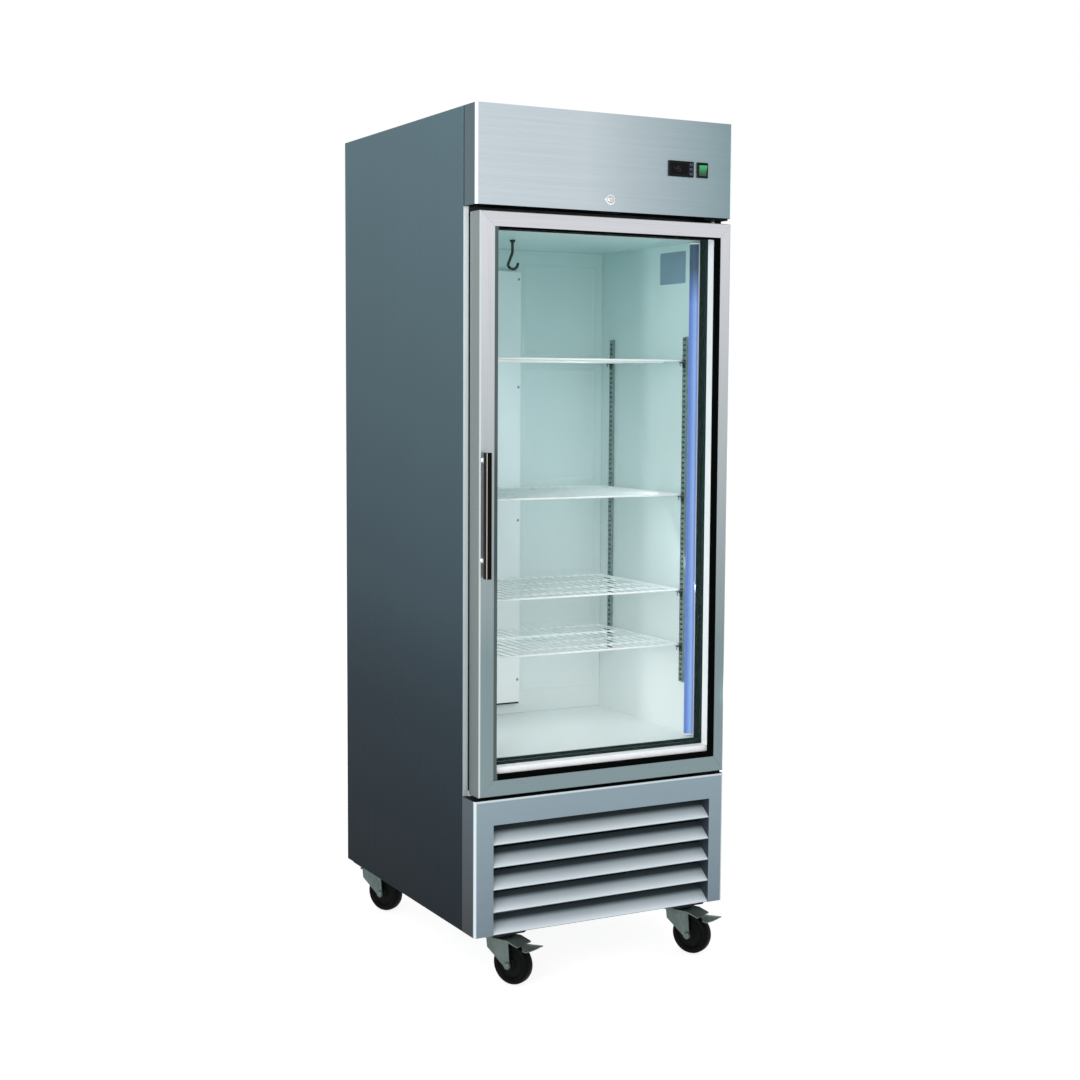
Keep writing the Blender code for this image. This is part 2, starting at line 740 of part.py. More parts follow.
def make_hinge_brackets():
    """Plates on the header and on the grille panel, each with a spacer and the door's pivot pin."""
    thick = 0.004
    for name, seat, door_edge, side in (
        ("hinge_bracket_top", HEADER_BOTTOM - GAP, DOOR_TOP, -1),
        ("hinge_bracket_bottom", GRILLE_TOP + GAP, DOOR_BOTTOM, 1),
    ):
        face = seat + side * thick
        plate = box(
            name,
            (HINGE_X - 0.052, HINGE_Y - 0.022, min(seat, face)),
            (HINGE_X + 0.014, HINGE_Y + 0.028, max(seat, face)),
            "galvanised_steel",
        )
        shoulder = door_edge - side * 0.0006
        tip = door_edge + side * 0.009
        profile = [(0, face - side * 0.001), (0.008, face - side * 0.001), (0.008, shoulder), (PIN_RADIUS, shoulder)]
        profile += [(PIN_RADIUS, tip), (0, tip)]
        pin = lathe("pin", profile, segments=16)
        fuse(plate, transform(pin, Matrix.Translation((HINGE_X, HINGE_Y, 0))))


# ---- casters ------------------------------------------------------------------------------
def make_caster_plate(name, x, y):
    """Top plate with clipped corners and the upper raceway under it."""
    half_x, half_y, clip = 0.052, 0.042, 0.012
    top = CASTER_HEIGHT - GAP
    outline = []
    for sx, sy in ((-1, -1), (1, -1), (1, 1), (-1, 1)):
        ends = [(x + sx * half_x, y + sy * (half_y - clip)), (x + sx * (half_x - clip), y + sy * half_y)]
        outline += ends if sx == sy else ends[::-1]
    plate = prism(name, outline, "Z", top - 0.004, top, "zinc")
    race = lathe("race", [(0, 0.1108), (0.026, 0.1108), (0.031, 0.115), (0.031, 0.125), (0, 0.125)], segments=20)
    fuse(plate, transform(race, Matrix.Translation((x, y, 0))))


def leg_outline():
    """Side view of a fork leg in (y, z): broad at the crown, round at the axle."""
    crown = 0.1095
    tip_y, tip_z, radius = 0.002 - TRAIL, WHEEL_RADIUS - 0.002, 0.009
    outline = [(0.027, crown), (-0.040, crown), (-0.037, crown - 0.010)]
    for step in range(7):
        turn = math.radians(-20 - 150 * step / 6)
        outline.append((tip_y - radius * math.cos(turn), tip_z + radius * math.sin(turn)))
    outline.append((0.024, 0.084))
    return outline


def make_fork(name, x, y):
    """Bent fork: a crown that slopes down in front, two legs and the axle bolt.

    It swivels on the vertical axis.
    """
    inner, outer = WHEEL_WIDTH / 2 + 0.0050, WHEEL_WIDTH / 2 + 0.0080
    fork = prism(name, leg_outline(), "X", -outer, outer, "zinc")
    bay = box("bay", (-inner, -0.12, -0.01), (inner, 0.12, 0.1055))
    cut(fork, bay)
    crown = [(0.030, 0.1105), (-0.038, 0.1105), (-0.066, 0.1015), (-0.066, 0.0980), (-0.038, 0.1065), (0.030, 0.1065)]
    fuse(fork, prism("crown", crown, "X", -0.0285, 0.0285))
    head = outer + 0.0037
    half = [(0.0045, outer - 0.001), (0.0075, outer + GAP - 0.001), (0.0075, head), (0, head)]
    axle = lathe("axle", [(radius, -z) for radius, z in reversed(half)] + half, segments=12)
    turn = Matrix.Translation((0, -TRAIL, WHEEL_RADIUS)) @ Matrix.Rotation(math.radians(90), 4, "Y")
    fuse(fork, transform(axle, turn))
    fork.location = (x, y, 0)
    fork.rotation_euler = (0, 0, CASTER_TURN)
    for modifier in fork.modifiers:
        modifier.object.parent = fork
    return fork


def make_wheel(name, fork):
    half, hub = WHEEL_WIDTH / 2, 0.0048
    profile = [(hub, -half), (0.016, -half), (0.019, -half + 0.004), (0.034, -half + 0.004), (0.037, -half + 0.001)]
    profile += [(0.044, -half + 0.001), (WHEEL_RADIUS, -half + 0.007)]
    profile += [(radius, -z) for radius, z in reversed(profile)]
    wheel = lathe(name, profile, "tyre", segments=24)
    transform(wheel, Matrix.Rotation(math.radians(90), 4, "Y"))
    wheel.parent = fork
    wheel.location = (0, -TRAIL, WHEEL_RADIUS)


def make_pedal(name, fork):
    """Leaf-shaped brake pedal, arched across, hinged on the front edge of the fork's crown."""
    length = PEDAL_PIVOT_Y - PEDAL_TIP_Y
    stations = [(0.0, 0.026), (0.10, 0.030), (0.28, 0.056), (0.55, 0.062), (0.82, 0.046), (1.0, 0.018)]
    widest = max(width for _, width in stations)
    drop, thick = 0.008, 0.0025
    verts = []
    for share, width in stations:
        for across in (-1, -0.5, 0, 0.5, 1):
            sag = drop * across * across * (width / widest) ** 2
            verts.append((across * width / 2, -share * length, 0.004 * share - sag))
    faces = []
    for row in range(len(stations) - 1):
        for column in range(4):
            a = row * 5 + column
            faces.append((a, a + 1, a + 6, a + 5))
    top_count = len(verts)
    verts += [(x, y, z - thick) for x, y, z in verts]
    faces += [tuple(top_count + i for i in reversed(face)) for face in faces]
    last = (len(stations) - 1) * 5
    rim = list(range(0, 5)) + [5 * r + 4 for r in range(1, len(stations))]
    rim += [last + c for c in (3, 2, 1, 0)] + [5 * r for r in range(len(stations) - 2, 0, -1)]
    for i, a in enumerate(rim):
        b = rim[(i + 1) % len(rim)]
        faces.append((a, b, top_count + b, top_count + a))
    pedal = add_object(name, mesh_from(name, verts, faces), "zinc")
    pedal.parent = fork
    pedal.location = (0, PEDAL_PIVOT_Y, PEDAL_Z)


def make_casters():
    corners = (
        ("front_left", -FRONT_SWIVEL[0], FRONT_SWIVEL[1], True),
        ("front_right", FRONT_SWIVEL[0], FRONT_SWIVEL[1], True),
        ("rear_left", -REAR_SWIVEL[0], REAR_SWIVEL[1], False),
        ("rear_right", REAR_SWIVEL[0], REAR_SWIVEL[1], False),
    )
    for corner, x, y, braked in corners:
        make_caster_plate(f"caster_plate_{corner}", x, y)
        fork = make_fork(f"caster_fork_{corner}", x, y)
        make_wheel(f"caster_wheel_{corner}", fork)
        if braked:
            make_pedal(f"brake_pedal_{corner}", fork)


# ---- refrigeration ------------------------------------------------------------------------
def fan_coil(name, width, height, throat_radius, finish, placement):
    """Finned coil with its fan shroud: air runs along +Y, and the fan's boss is on the Y axis."""
    block, shroud = 0.050, 0.060
    spine, fin, pitch = 0.006, 0.004, 0.016
    count = int(width / pitch)
    outline = [(-width / 2, block), (-width / 2, 0)]
    for number in range(count):
        x = -width / 2 + pitch * number
        outline += [(x + fin, 0), (x + fin, block - spine), (x + pitch, block - spine), (x + pitch, 0)]
    last = -width / 2 + pitch * count
    outline += [(last + fin, 0), (last + fin, block)]
    coil = prism(name, outline, "Z", -height / 2, height / 2, finish)
    far = block + shroud
    hood = box("hood", (-width / 2, block - 0.001, -height / 2), (width / 2, far, height / 2))
    fuse(coil, hood)
    skin = 0.0015
    room = box(
        "room",
        (-width / 2 + skin, block, -height / 2 + skin),
        (width / 2 - skin, far - skin, height / 2 - skin),
    )
    throat = lay_along_y(cylinder("throat", throat_radius, -0.01, 0.01, 24), (0, far, 0))
    cut(coil, room, throat)
    arm = box("arm", (-throat_radius - 0.004, far - skin, -0.010), (throat_radius + 0.004, far + 0.001, 0.010))
    motor = lay_along_y(cylinder("motor", 0.026, -0.004, 0.030), (0, far, 0))
    fuse(coil, arm, motor)
    for operand in [coil] + [m.object for m in coil.modifiers]:
        operand.matrix_world = placement
    return coil


def make_fan(name, reach, location, axis_turn):
    """Five pitched blades on a hub, turning about the shroud's axis."""
    hub = lathe(name, [(0, -0.012), (0.024, -0.012), (0.026, -0.008), (0.026, 0.008), (0, 0.008)], "copper_black", 20)
    blades = []
    for number in range(5):
        blade = box("blade", (0.018, -0.3 * reach, -0.001), (reach, 0.3 * reach, 0.001))
        transform(blade, Matrix.Rotation(math.radians(18), 4, "X"))
        transform(blade, Matrix.Rotation(math.radians(72 * number), 4, "Z"))
        blades.append(blade)
    fuse(hub, *blades)
    for piece in [hub] + [m.object for m in hub.modifiers]:
        piece.rotation_euler = axis_turn
        piece.location = location


def make_refrigeration():
    condenser_at = Vector((-0.060, -0.292, 0.282))
    fan_coil("condenser_coil", 0.360, 0.250, 0.098, "copper_black", Matrix.Translation(condenser_at))
    make_fan("condenser_fan", 0.088, condenser_at + Vector((0, 0.090, 0)), (math.radians(-90), 0, 0))

    evaporator_at = Vector((0, 0.268, 0.640))
    stand = Matrix.Rotation(math.radians(90), 4, "X")
    fan_coil("evaporator_coil", 0.460, 0.170, 0.078, "aluminium", Matrix.Translation(evaporator_at) @ stand)
    make_fan("evaporator_fan", 0.068, evaporator_at + Vector((0, 0, 0.090)), (0, 0, 0))

    floor = CASTER_HEIGHT + 0.0015 + GAP
    can = [(0, floor + 0.012), (0.058, floor + 0.014), (0.070, floor + 0.030), (0.072, floor + 0.100)]
    can += [(0.066, floor + 0.135), (0.046, floor + 0.158), (0, floor + 0.166)]
    compressor = lathe("compressor", can, "copper_black", 24)
    foot = box("foot", (-0.085, -0.055, floor), (0.085, 0.055, floor + 0.018))
    fuse(compressor, foot)
    for piece in [compressor] + [m.object for m in compressor.modifiers]:
        piece.location = (0.150, 0.220, 0)


def build():
    clear_scene()
    make_side_panels()
    make_top_and_back()
    make_base_tray()
    make_insulation()
    make_liner()
    make_evaporator_cover()
    make_pilasters()
    for number, top in enumerate(SHELF_TOPS, start=1):
        make_shelf(number, top)
    make_led_strip()
    make_ceiling_hook()
    make_header()
    make_controller()
    make_switch()
    make_lock()
    make_grille()
    make_door()
    make_hinge_brackets()
    make_casters()
    make_refrigeration()


build()
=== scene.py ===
import json
import math

import bmesh
import bpy
from mathutils import Matrix, Vector

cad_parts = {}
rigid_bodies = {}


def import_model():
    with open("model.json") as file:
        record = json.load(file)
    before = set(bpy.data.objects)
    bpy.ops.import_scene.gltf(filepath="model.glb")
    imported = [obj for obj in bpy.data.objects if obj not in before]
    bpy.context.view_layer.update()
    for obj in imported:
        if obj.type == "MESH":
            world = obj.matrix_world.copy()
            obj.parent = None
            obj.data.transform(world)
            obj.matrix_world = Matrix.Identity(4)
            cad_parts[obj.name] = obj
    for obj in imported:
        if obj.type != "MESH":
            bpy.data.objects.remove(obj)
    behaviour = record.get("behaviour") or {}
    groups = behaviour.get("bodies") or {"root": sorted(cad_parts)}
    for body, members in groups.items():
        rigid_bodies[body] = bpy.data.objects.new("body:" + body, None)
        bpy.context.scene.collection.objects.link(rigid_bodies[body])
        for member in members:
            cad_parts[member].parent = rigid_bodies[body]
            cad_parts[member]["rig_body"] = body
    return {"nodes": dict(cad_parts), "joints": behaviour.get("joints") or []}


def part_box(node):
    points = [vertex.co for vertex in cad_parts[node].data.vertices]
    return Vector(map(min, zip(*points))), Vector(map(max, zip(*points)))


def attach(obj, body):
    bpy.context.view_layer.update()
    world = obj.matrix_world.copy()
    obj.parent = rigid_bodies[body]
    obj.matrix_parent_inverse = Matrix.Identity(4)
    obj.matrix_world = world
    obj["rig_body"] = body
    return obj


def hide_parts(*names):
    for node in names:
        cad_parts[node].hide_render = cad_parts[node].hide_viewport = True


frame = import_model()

NODES = frame["nodes"]
JOINTS = {joint["name"]: joint for joint in frame["joints"]}
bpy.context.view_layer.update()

CABINET_LOW, CABINET_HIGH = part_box("side_panel_left")[0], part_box("side_panel_right")[1]
HEADER_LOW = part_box("header_hood")[0]
LINER_LOW, LINER_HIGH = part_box("inner_liner")
COVER_LOW, COVER_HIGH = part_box("evaporator_cover")
DOOR_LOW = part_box("door_stile_left")[0]
DOOR_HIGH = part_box("door_stile_right")[1]
FRONT = HEADER_LOW.y
BODY_FRONT = CABINET_LOW.y


# ---- materials ----------------------------------------------------------------------------
def rgb(code):
    """Linear colour from a six-digit display colour."""
    values = [int(code[i:i + 2], 16) / 255 for i in (0, 2, 4)]
    return tuple(v / 12.92 if v <= 0.04045 else ((v + 0.055) / 1.055) ** 2.4 for v in values)


FINISH = {}


class Finish:
    """One procedural material, kept by name: a Principled shader and the nodes that feed it."""

    def __init__(self, name, **constants):
        self.material = FINISH[name] = bpy.data.materials.new(name)
        self.material.use_nodes = True
        self.nodes = self.material.node_tree.nodes
        self.links = self.material.node_tree.links
        self.shader = self.nodes["Principled BSDF"]
        self.place = self.nodes.new("ShaderNodeTexCoord").outputs["Object"]
        for socket, value in constants.items():
            self.set(socket.replace("_", " "), value)

    def feed(self, socket, value):
        """Join a node's output to a socket or set it; a colour may be six display digits."""
        if isinstance(value, bpy.types.NodeSocket):
            self.links.new(value, socket)
        elif socket.type == "RGBA":
            socket.default_value = (*(rgb(value) if isinstance(value, str) else value), 1.0)
        else:
            socket.default_value = value

    def set(self, socket, value):
        self.feed(self.shader.inputs[socket], value)

    def add(self, kind, inputs, **settings):
        node = self.nodes.new("ShaderNode" + kind)
        for key, value in settings.items():
            setattr(node, key, value)
        for key, value in inputs.items():
            self.feed(node.inputs[key], value)
        return node

    def span(self, value, low, high, start=0.0, end=1.0):
        """Map low..high onto start..end, held at both ends."""
        limits = {"Value": value, "From Min": low, "From Max": high, "To Min": start, "To Max": end}
        return self.add("MapRange", limits).outputs["Result"]

    def axis(self, letter):
        return self.add("SeparateXYZ", {0: self.place}).outputs[letter]

    def along(self, letter, low, high):
        """0 to 1 between two places along an axis."""
        return self.span(self.axis(letter), low, high)

    def grade(self, letter, low, high, first, second):
        """Colour that turns from first to second between two places along an axis."""
        return self.blend(self.along(letter, low, high), first, second)

    def noise(self, stretch, detail=3.0, roughness=0.55):
        """Noise with its own frequency along each axis, in cycles per metre."""
        spread = self.add("VectorMath", {0: self.place, 1: stretch}, operation="MULTIPLY").outputs[0]
        settings = {"Vector": spread, "Scale": 1.0, "Detail": detail, "Roughness": roughness}
        return self.add("TexNoise", settings).outputs["Fac"]

    def cells(self, stretch):
        """Random value in each crystal of a cell pattern."""
        spread = self.add("VectorMath", {0: self.place, 1: stretch}, operation="MULTIPLY").outputs[0]
        return self.add("TexVoronoi", {"Vector": spread, "Scale": 1.0}).outputs["Color"]

    def blend(self, factor, first, second, kind="MIX"):
        node = self.add("Mix", {0: factor, 6: first, 7: second}, data_type="RGBA", blend_type=kind)
        return node.outputs[2]

    def shade(self, colour, value, dark, light):
        """Multiply a colour by noise mapped onto dark..light."""
        return self.blend(1.0, colour, self.span(value, 0.3, 0.7, dark, light), "MULTIPLY")

    def relief(self, height, strength, distance):
        bump = self.add("Bump", {"Height": height, "Strength": strength, "Distance": distance})
        self.set("Normal", bump.outputs["Normal"])


GRAIN = {"X": (3.0, 900.0, 900.0), "Z": (900.0, 900.0, 3.0)}


def brushed(name, colour_of, grain, roughness=0.30, metallic=0.85, streak=0.035, **constants):
    """Brushed steel sheet: long fine streaks, soft clouding and slightly uneven gloss."""
    finish = Finish(name, Metallic=metallic, Anisotropic=0.35, **constants)
    fine = finish.noise(GRAIN[grain], 2.0)
    broad = finish.noise(tuple(v / 9 for v in GRAIN[grain]), 2.0)
    cloud = finish.noise((2.1, 2.1, 1.3), 3.0)
    colour = finish.shade(colour_of(finish), fine, 1 - streak, 1 + streak)
    colour = finish.shade(colour, broad, 0.988, 1.012)
    finish.set("Base Color", finish.shade(colour, cloud, 0.98, 1.02))
    finish.set("Roughness", finish.span(fine, 0.25, 0.75, roughness - 0.05, roughness + 0.08))
    finish.relief(fine, 0.08, 0.0002)


def coated(name, colour, roughness, grit=600.0, strength=0.10, spread=0.05, **constants):
    """Plastic, paint or cast surface: fine grit, mild clouding, worn gloss."""
    finish = Finish(name, **constants)
    fine = finish.noise((grit,) * 3, 3.0)
    cloud = finish.noise((9.0, 9.0, 9.0), 4.0)
    finish.set("Base Color", finish.shade(colour, cloud, 1 - spread, 1 + spread))
    finish.set("Roughness", finish.span(cloud, 0.3, 0.7, roughness * 0.85, min(1.0, roughness * 1.2)))
    finish.relief(fine, strength, 0.0004)


def clouded(code, scale, dark, light):
    """Colour function of one mildly clouded colour."""
    def colour_of(finish):
        return finish.shade(code, finish.noise((scale,) * 3), dark, light)
    return colour_of


def side_colour(finish):
    """Slate sheet with painted shade: darkest at the foot, lighter towards the top."""
    low, high = CABINET_LOW.z, CABINET_HIGH.z
    upper = finish.grade("Z", low + 0.5, high, "36434b", "5f747c")
    return finish.grade("Z", low, low + 0.75, "1b242b", upper)


def header_colour(finish):
    """Painted reflection, light at the latch side and deeper towards the hinge side; painted shade on the
    folded returns, slate and darkest at the seam behind them.
    """
    front = finish.grade("X", -0.06, 0.34, "c6d2d8", "88a0a6")
    fold = finish.grade("Y", BODY_FRONT - 0.0075, BODY_FRONT - 0.0060, "536971", "1e282d")
    return finish.grade("Y", FRONT + 0.006, FRONT + 0.009, front, fold)


def grille_colour(finish):
    """Grey face with painted shade, deeper low down, a painted highlight along its top edge, and painted
    shade on the return at its left end.
    """
    top, upper_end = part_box("grille_panel")[1].z, 0.43
    front = finish.grade("Z", CABINET_LOW.z, upper_end, "73828c", "889aa3")
    front = finish.grade("Z", top - 0.0055, top - 0.0040, front, "c3ced3")
    fold = finish.grade("Z", CABINET_LOW.z, upper_end, "171f24", "414f58")
    outer = finish.grade("X", -0.3405, -0.3425, front, fold)
    return finish.grade("Y", FRONT + 0.006, FRONT + 0.009, front, outer)


def door_colour(finish):
    """Steel face and side returns with painted shade: the returns darker, and both deeper low down."""
    low, high = DOOR_LOW.z, DOOR_HIGH.z
    front = finish.grade("Z", low + 0.32, high - 0.04, "7c8e91", "d6d8dd")
    side = finish.grade("Z", low + 0.1, high, "64706f", "8a9695")
    return finish.grade("Y", FRONT + 0.003, FRONT + 0.006, front, side)


def blade_colour(finish):
    """Louvre blades with a painted highlight along the front edge and painted shade, slate, at the back."""
    lit = finish.grade("Y", FRONT + 0.001, FRONT + 0.026, "dfe9ef", "a9b8c0")
    return finish.grade("Y", FRONT + 0.025, FRONT + 0.034, lit, "465259")


def fold_colour(finish):
    """Bent edges with a painted highlight, palest at the top."""
    return finish.grade("Z", DOOR_LOW.z, DOOR_HIGH.z, "c2cfd3", "f4fcff")


def bead_colour(finish):
    """Black bead with a painted reflection of the stile, grey along its latch side."""
    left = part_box("glazing_bead")[0].x
    return finish.grade("X", left + 0.0095, left + 0.0105, "4c5857", "020303")


def face_colour(finish):
    """White liner with painted shade, teal and deeper towards the ceiling, and the steel face flange in front
    of it, with painted shadow, black near its top.
    """
    low, high = LINER_LOW.z + 0.08, LINER_HIGH.z
    upper = finish.grade("Z", low + 0.55, high, "cfe0df", "c0dfde")
    inside = finish.grade("Z", low, low + 0.55, "eef4f3", upper)
    flange = finish.grade("Z", DOOR_HIGH.z - 0.010, DOOR_HIGH.z - 0.006, "d6dee0", "14181a")
    return finish.grade("Y", BODY_FRONT + 0.0012, BODY_FRONT + 0.0016, flange, inside)


def duct_colour(finish):
    """The proud duct with a painted highlight, a little paler than the cover round it, and painted shade
    deeper towards the ceiling.
    """
    low, high = LINER_LOW.z + 0.08, LINER_HIGH.z
    upper = finish.grade("Z", low + 0.55, high, "e2eeee", "d8f1f0")
    return finish.grade("Z", low, low + 0.55, "ffffff", upper)


def liner(name, colour_of):
    """Painted sheet with a faint orange peel."""
    finish = Finish(name, Coat_Weight=0.25, Coat_Roughness=0.2)
    cloud = finish.noise((5.0, 5.0, 3.0), 3.0)
    peel = finish.noise((260.0,) * 3, 2.0)
    finish.set("Base Color", finish.shade(colour_of(finish), cloud, 0.975, 1.02))
    finish.set("Roughness", finish.span(cloud, 0.3, 0.7, 0.34, 0.48))
    finish.relief(peel, 0.06, 0.0004)


def galvanised(name, colour):
    """Zinc-coated sheet with its crystal spangle."""
    finish = Finish(name, Metallic=0.75)
    spangle = finish.cells((70.0, 70.0, 70.0))
    grey = finish.add("RGBToBW", {0: spangle}).outputs[0]
    cloud = finish.noise((4.0, 4.0, 4.0), 4.0)
    finish.set("Base Color", finish.shade(finish.shade(colour, grey, 0.90, 1.08), cloud, 0.94, 1.05))
    finish.set("Roughness", finish.span(grey, 0.2, 0.8, 0.38, 0.56))
    finish.relief(cloud, 0.05, 0.001)


def zinc(name, dark, light):
    """Passivated zinc plate: clouded grey-green, duller in patches, brighter where rubbed."""
    finish = Finish(name, Metallic=0.7)
    cloud = finish.noise((38.0, 38.0, 38.0), 4.0)
    rub = finish.noise((160.0, 160.0, 30.0), 3.0)
    colour = finish.blend(cloud, dark, light)
    finish.set("Base Color", finish.shade(colour, rub, 0.85, 1.12))
    finish.set("Roughness", finish.span(cloud, 0.3, 0.7, 0.30, 0.50))
    finish.relief(rub, 0.10, 0.0003)


def tyre(name):
    """Moulded wheel: dusty scuffs and slightly uneven gloss."""
    finish = Finish(name, Specular_IOR_Level=0.05)
    scuff = finish.noise((120.0, 120.0, 120.0), 5.0, 0.7)
    cloud = finish.noise((30.0, 30.0, 30.0), 3.0)
    dusty = finish.span(scuff, 0.55, 0.85, 0.0, 0.25)
    finish.set("Base Color", finish.blend(dusty, "060707", "1e2122"))
    finish.set("Roughness", finish.span(cloud, 0.3, 0.7, 0.38, 0.62))
    finish.relief(scuff, 0.15, 0.0004)


def light_lens(name):
    """Diffuser lit blue, palest along its middle and dim at its top end."""
    low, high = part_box("led_strip")
    finish = Finish(name, Roughness=0.45, Emission_Strength=0.8, Specular_IOR_Level=0.15)
    middle = low.x + 0.42 * (high.x - low.x)
    left = finish.grade("X", low.x, middle, "5670bc", "98c0f0")
    glow = finish.grade("X", middle, high.x - 0.003, left, "5a50c0")
    lit = finish.along("Z", high.z - 0.06, high.z - 0.15)
    ripple = finish.noise((40.0, 40.0, 6.0), 2.0)
    glow = finish.shade(glow, ripple, 0.94, 1.05)
    finish.set("Emission Color", finish.blend(lit, "32435e", glow))
    finish.set("Base Color", finish.blend(lit, "2b3848", "3a4a78"))


def pane_glass(name):
    """Clear pane with the faint green of float glass."""
    Finish(name, Base_Color="5f8f86", Roughness=0.03, Alpha=0.02, IOR=1.5)


def lit_green(name):
    """Green rocker, dim at its foot and glowing above."""
    finish = Finish(name, Roughness=0.30, Coat_Weight=0.2, Emission_Strength=0.18)
    dim_below, bright_above = 1.909, 1.926
    bright = finish.along("Z", dim_below, bright_above)
    speck = finish.noise((700.0, 700.0, 700.0), 2.0)
    colour = finish.shade(finish.blend(bright, "0a4229", "24854e"), speck, 0.9, 1.1)
    finish.set("Base Color", colour)
    finish.set("Emission Color", finish.blend(bright, "07402a", "2fbf70"))


DULL = {"Specular_IOR_Level": 0.10}
def make_finishes():
    brushed("side_steel", side_colour, "Z", 0.42, 0.5, 0.03, Specular_IOR_Level=0.10, Specular_Tint="6d7f88")
    brushed("header_steel", header_colour, "X")
    brushed("grille_steel", grille_colour, "X", 0.36)
    brushed("stile_steel", door_colour, "Z")
    brushed("rail_steel", door_colour, "X")
    # Painted highlight on the header's and grille's bends and the side panels' front flanges.
    brushed("fold_highlight_steel", fold_colour, "Z", 0.45, 0.4, 0.02)
    # Painted highlight: the door stiles' bends get an even pale grey in place of the light they catch.
    brushed("bend_highlight_steel", clouded("b0b9bb", 9, 0.97, 1.03), "Z", 0.60, 0.2, 0.02, **DULL)
    brushed("blade_steel", blade_colour, "X", 0.50, 0.25, 0.02, **DULL)
    brushed("shade_steel", clouded("171c20", 9, 0.9, 1.1), "X", 0.55, 0.4, 0.05, **DULL)
    # Painted shade on the side walls of the louvre opening.
    brushed("cheek_shade_steel", clouded("39444d", 9, 0.9, 1.1), "Z", 0.50, 0.4, 0.05, **DULL)
    galvanised("galvanised", "a9adae")
    coated("insulation", "d8c690", 0.9, 300.0, 0.5)
    liner("liner", face_colour)
    liner("duct", duct_colour)
    coated("wire_white", "f4fafa", 0.30, 500.0, 0.12, 0.03, Coat_Weight=0.4)
    galvanised("pilaster", "8b9a99")
    brushed("aluminium", clouded("f6f8fa", 8, 0.97, 1.03), "Z", 0.45, 0.1)
    coated("black_plastic", "0b0c0e", 0.38, 900.0, 0.14, Specular_IOR_Level=0.15)
    # Black for painted shade: the strip at the duct's outlet and the strips behind the pilaster slots.
    coated("black_trim", "020303", 0.50, 900.0, 0.10, Specular_IOR_Level=0.02)
    coated("black_gloss", "060707", 0.40, 900.0, 0.06, Specular_IOR_Level=0.05)
    coated("rim_light", "a59d8e", 0.40, 900.0, 0.06)
    coated("black_metal", "16181a", 0.48, 500.0, 0.12, 0.12, Metallic=0.2, Specular_IOR_Level=0.2)
    brushed("bead", bead_colour, "Z", 0.50, 0.1, 0.02, Specular_IOR_Level=0.02)
    coated("rubber", "0a1113", 0.62, 800.0, 0.16, 0.08, Specular_IOR_Level=0.03)
    tyre("tyre")
    zinc("zinc", "465351", "6c7a78")
    # Painted light: lighter zinc for the brake pedals' upward faces.
    zinc("pedal_lit_zinc", "55625f", "8a9895")
    coated("hub_black", "090a0a", 0.50, 500.0, 0.12, 0.12, Specular_IOR_Level=0.06)
    # Painted shade on the caster forks' upward faces.
    coated("crown_shade", "46534f", 0.50, 300.0, 0.12, 0.12, Metallic=0.4, Specular_IOR_Level=0.2)
    coated("chrome", "eef0f0", 0.12, 900.0, 0.02, 0.02, Metallic=1.0)
    pane_glass("glass")
    light_lens("lens")
    lit_green("green")
    coated("key", "263246", 0.40, 900.0, 0.10)
    coated("display", "06080b", 0.12, 300.0, 0.0, 0.2, Specular_IOR_Level=0.10)
    coated("digit", "1c1214", 0.4, 900.0, 0.05, 0.1, Emission_Color="5c2226", Emission_Strength=0.05)
    coated("label", "7692a4", 0.45, 300.0, 0.05, 0.06)
    coated("copper", "b0714a", 0.35, 400.0, 0.06, 0.15, Metallic=0.9)
    brushed("fin", clouded("1a1c1e", 20, 0.9, 1.1), "Z", 0.5, 0.5, **DULL)


# ---- mesh tools ---------------------------------------------------------------------------
def piece(name, shape, finish, body, stands_for=(), sharp=35, edge=0.0, segments=2, parts=()):
    """Turn a bmesh into a shown piece that rides on a body.

    Each of `parts` is a finish and a test of a face's centre and normal, for the faces that differ.
    """
    bmesh.ops.recalc_face_normals(shape, faces=shape.faces)
    for index, (_, test) in enumerate(parts, start=1):
        for face in shape.faces:
            if test(face.calc_center_median(), face.normal):
                face.material_index = index
    mesh = bpy.data.meshes.new(name)
    shape.to_mesh(mesh)
    shape.free()
    obj = bpy.data.objects.new(name, mesh)
    bpy.context.scene.collection.objects.link(obj)
    for used in (finish, *(other for other, _ in parts)):
        mesh.materials.append(FINISH[used])
    mesh.shade_smooth()
    mesh.set_sharp_from_angle(angle=math.radians(sharp))
    if edge:
        bevel = obj.modifiers.new("edges", "BEVEL")
        bevel.width = edge
        bevel.segments = segments
        bevel.limit_method = "ANGLE"
        bevel.angle_limit = math.radians(40)
        bevel.harden_normals = True
    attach(obj, body)
    if stands_for:
        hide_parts(*stands_for)


def body_of(node):
    return NODES[node]["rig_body"]


def finished(node, finish, edge=0.0004, segments=2, sharp=35, parts=()):
    """The CAD node's own shape as a new piece, its sheet edges rounded."""
    shape = bmesh.new()
    shape.from_mesh(NODES[node].data)
    bmesh.ops.remove_doubles(shape, verts=shape.verts, dist=0.000002)
    bmesh.ops.dissolve_limit(shape, angle_limit=math.radians(1), verts=shape.verts, edges=shape.edges)
    piece(f"{node}_shell", shape, finish, body_of(node), (node,), sharp, edge, segments, parts)


def add_box(shape, low, high, edge=0.0, segments=2):
    """Block between two corners, with rounded edges if asked."""
    low, high = Vector(low), Vector(high)
    size = high - low
    matrix = Matrix.Translation((low + high) / 2) @ Matrix.Diagonal((*size, 1.0))
    made = bmesh.ops.create_cube(shape, size=1.0, matrix=matrix)
    if edge:
        edges = list({e for v in made["verts"] for e in v.link_edges})
        bmesh.ops.bevel(shape, geom=edges, offset=edge, segments=segments, affect="EDGES", profile=0.5)


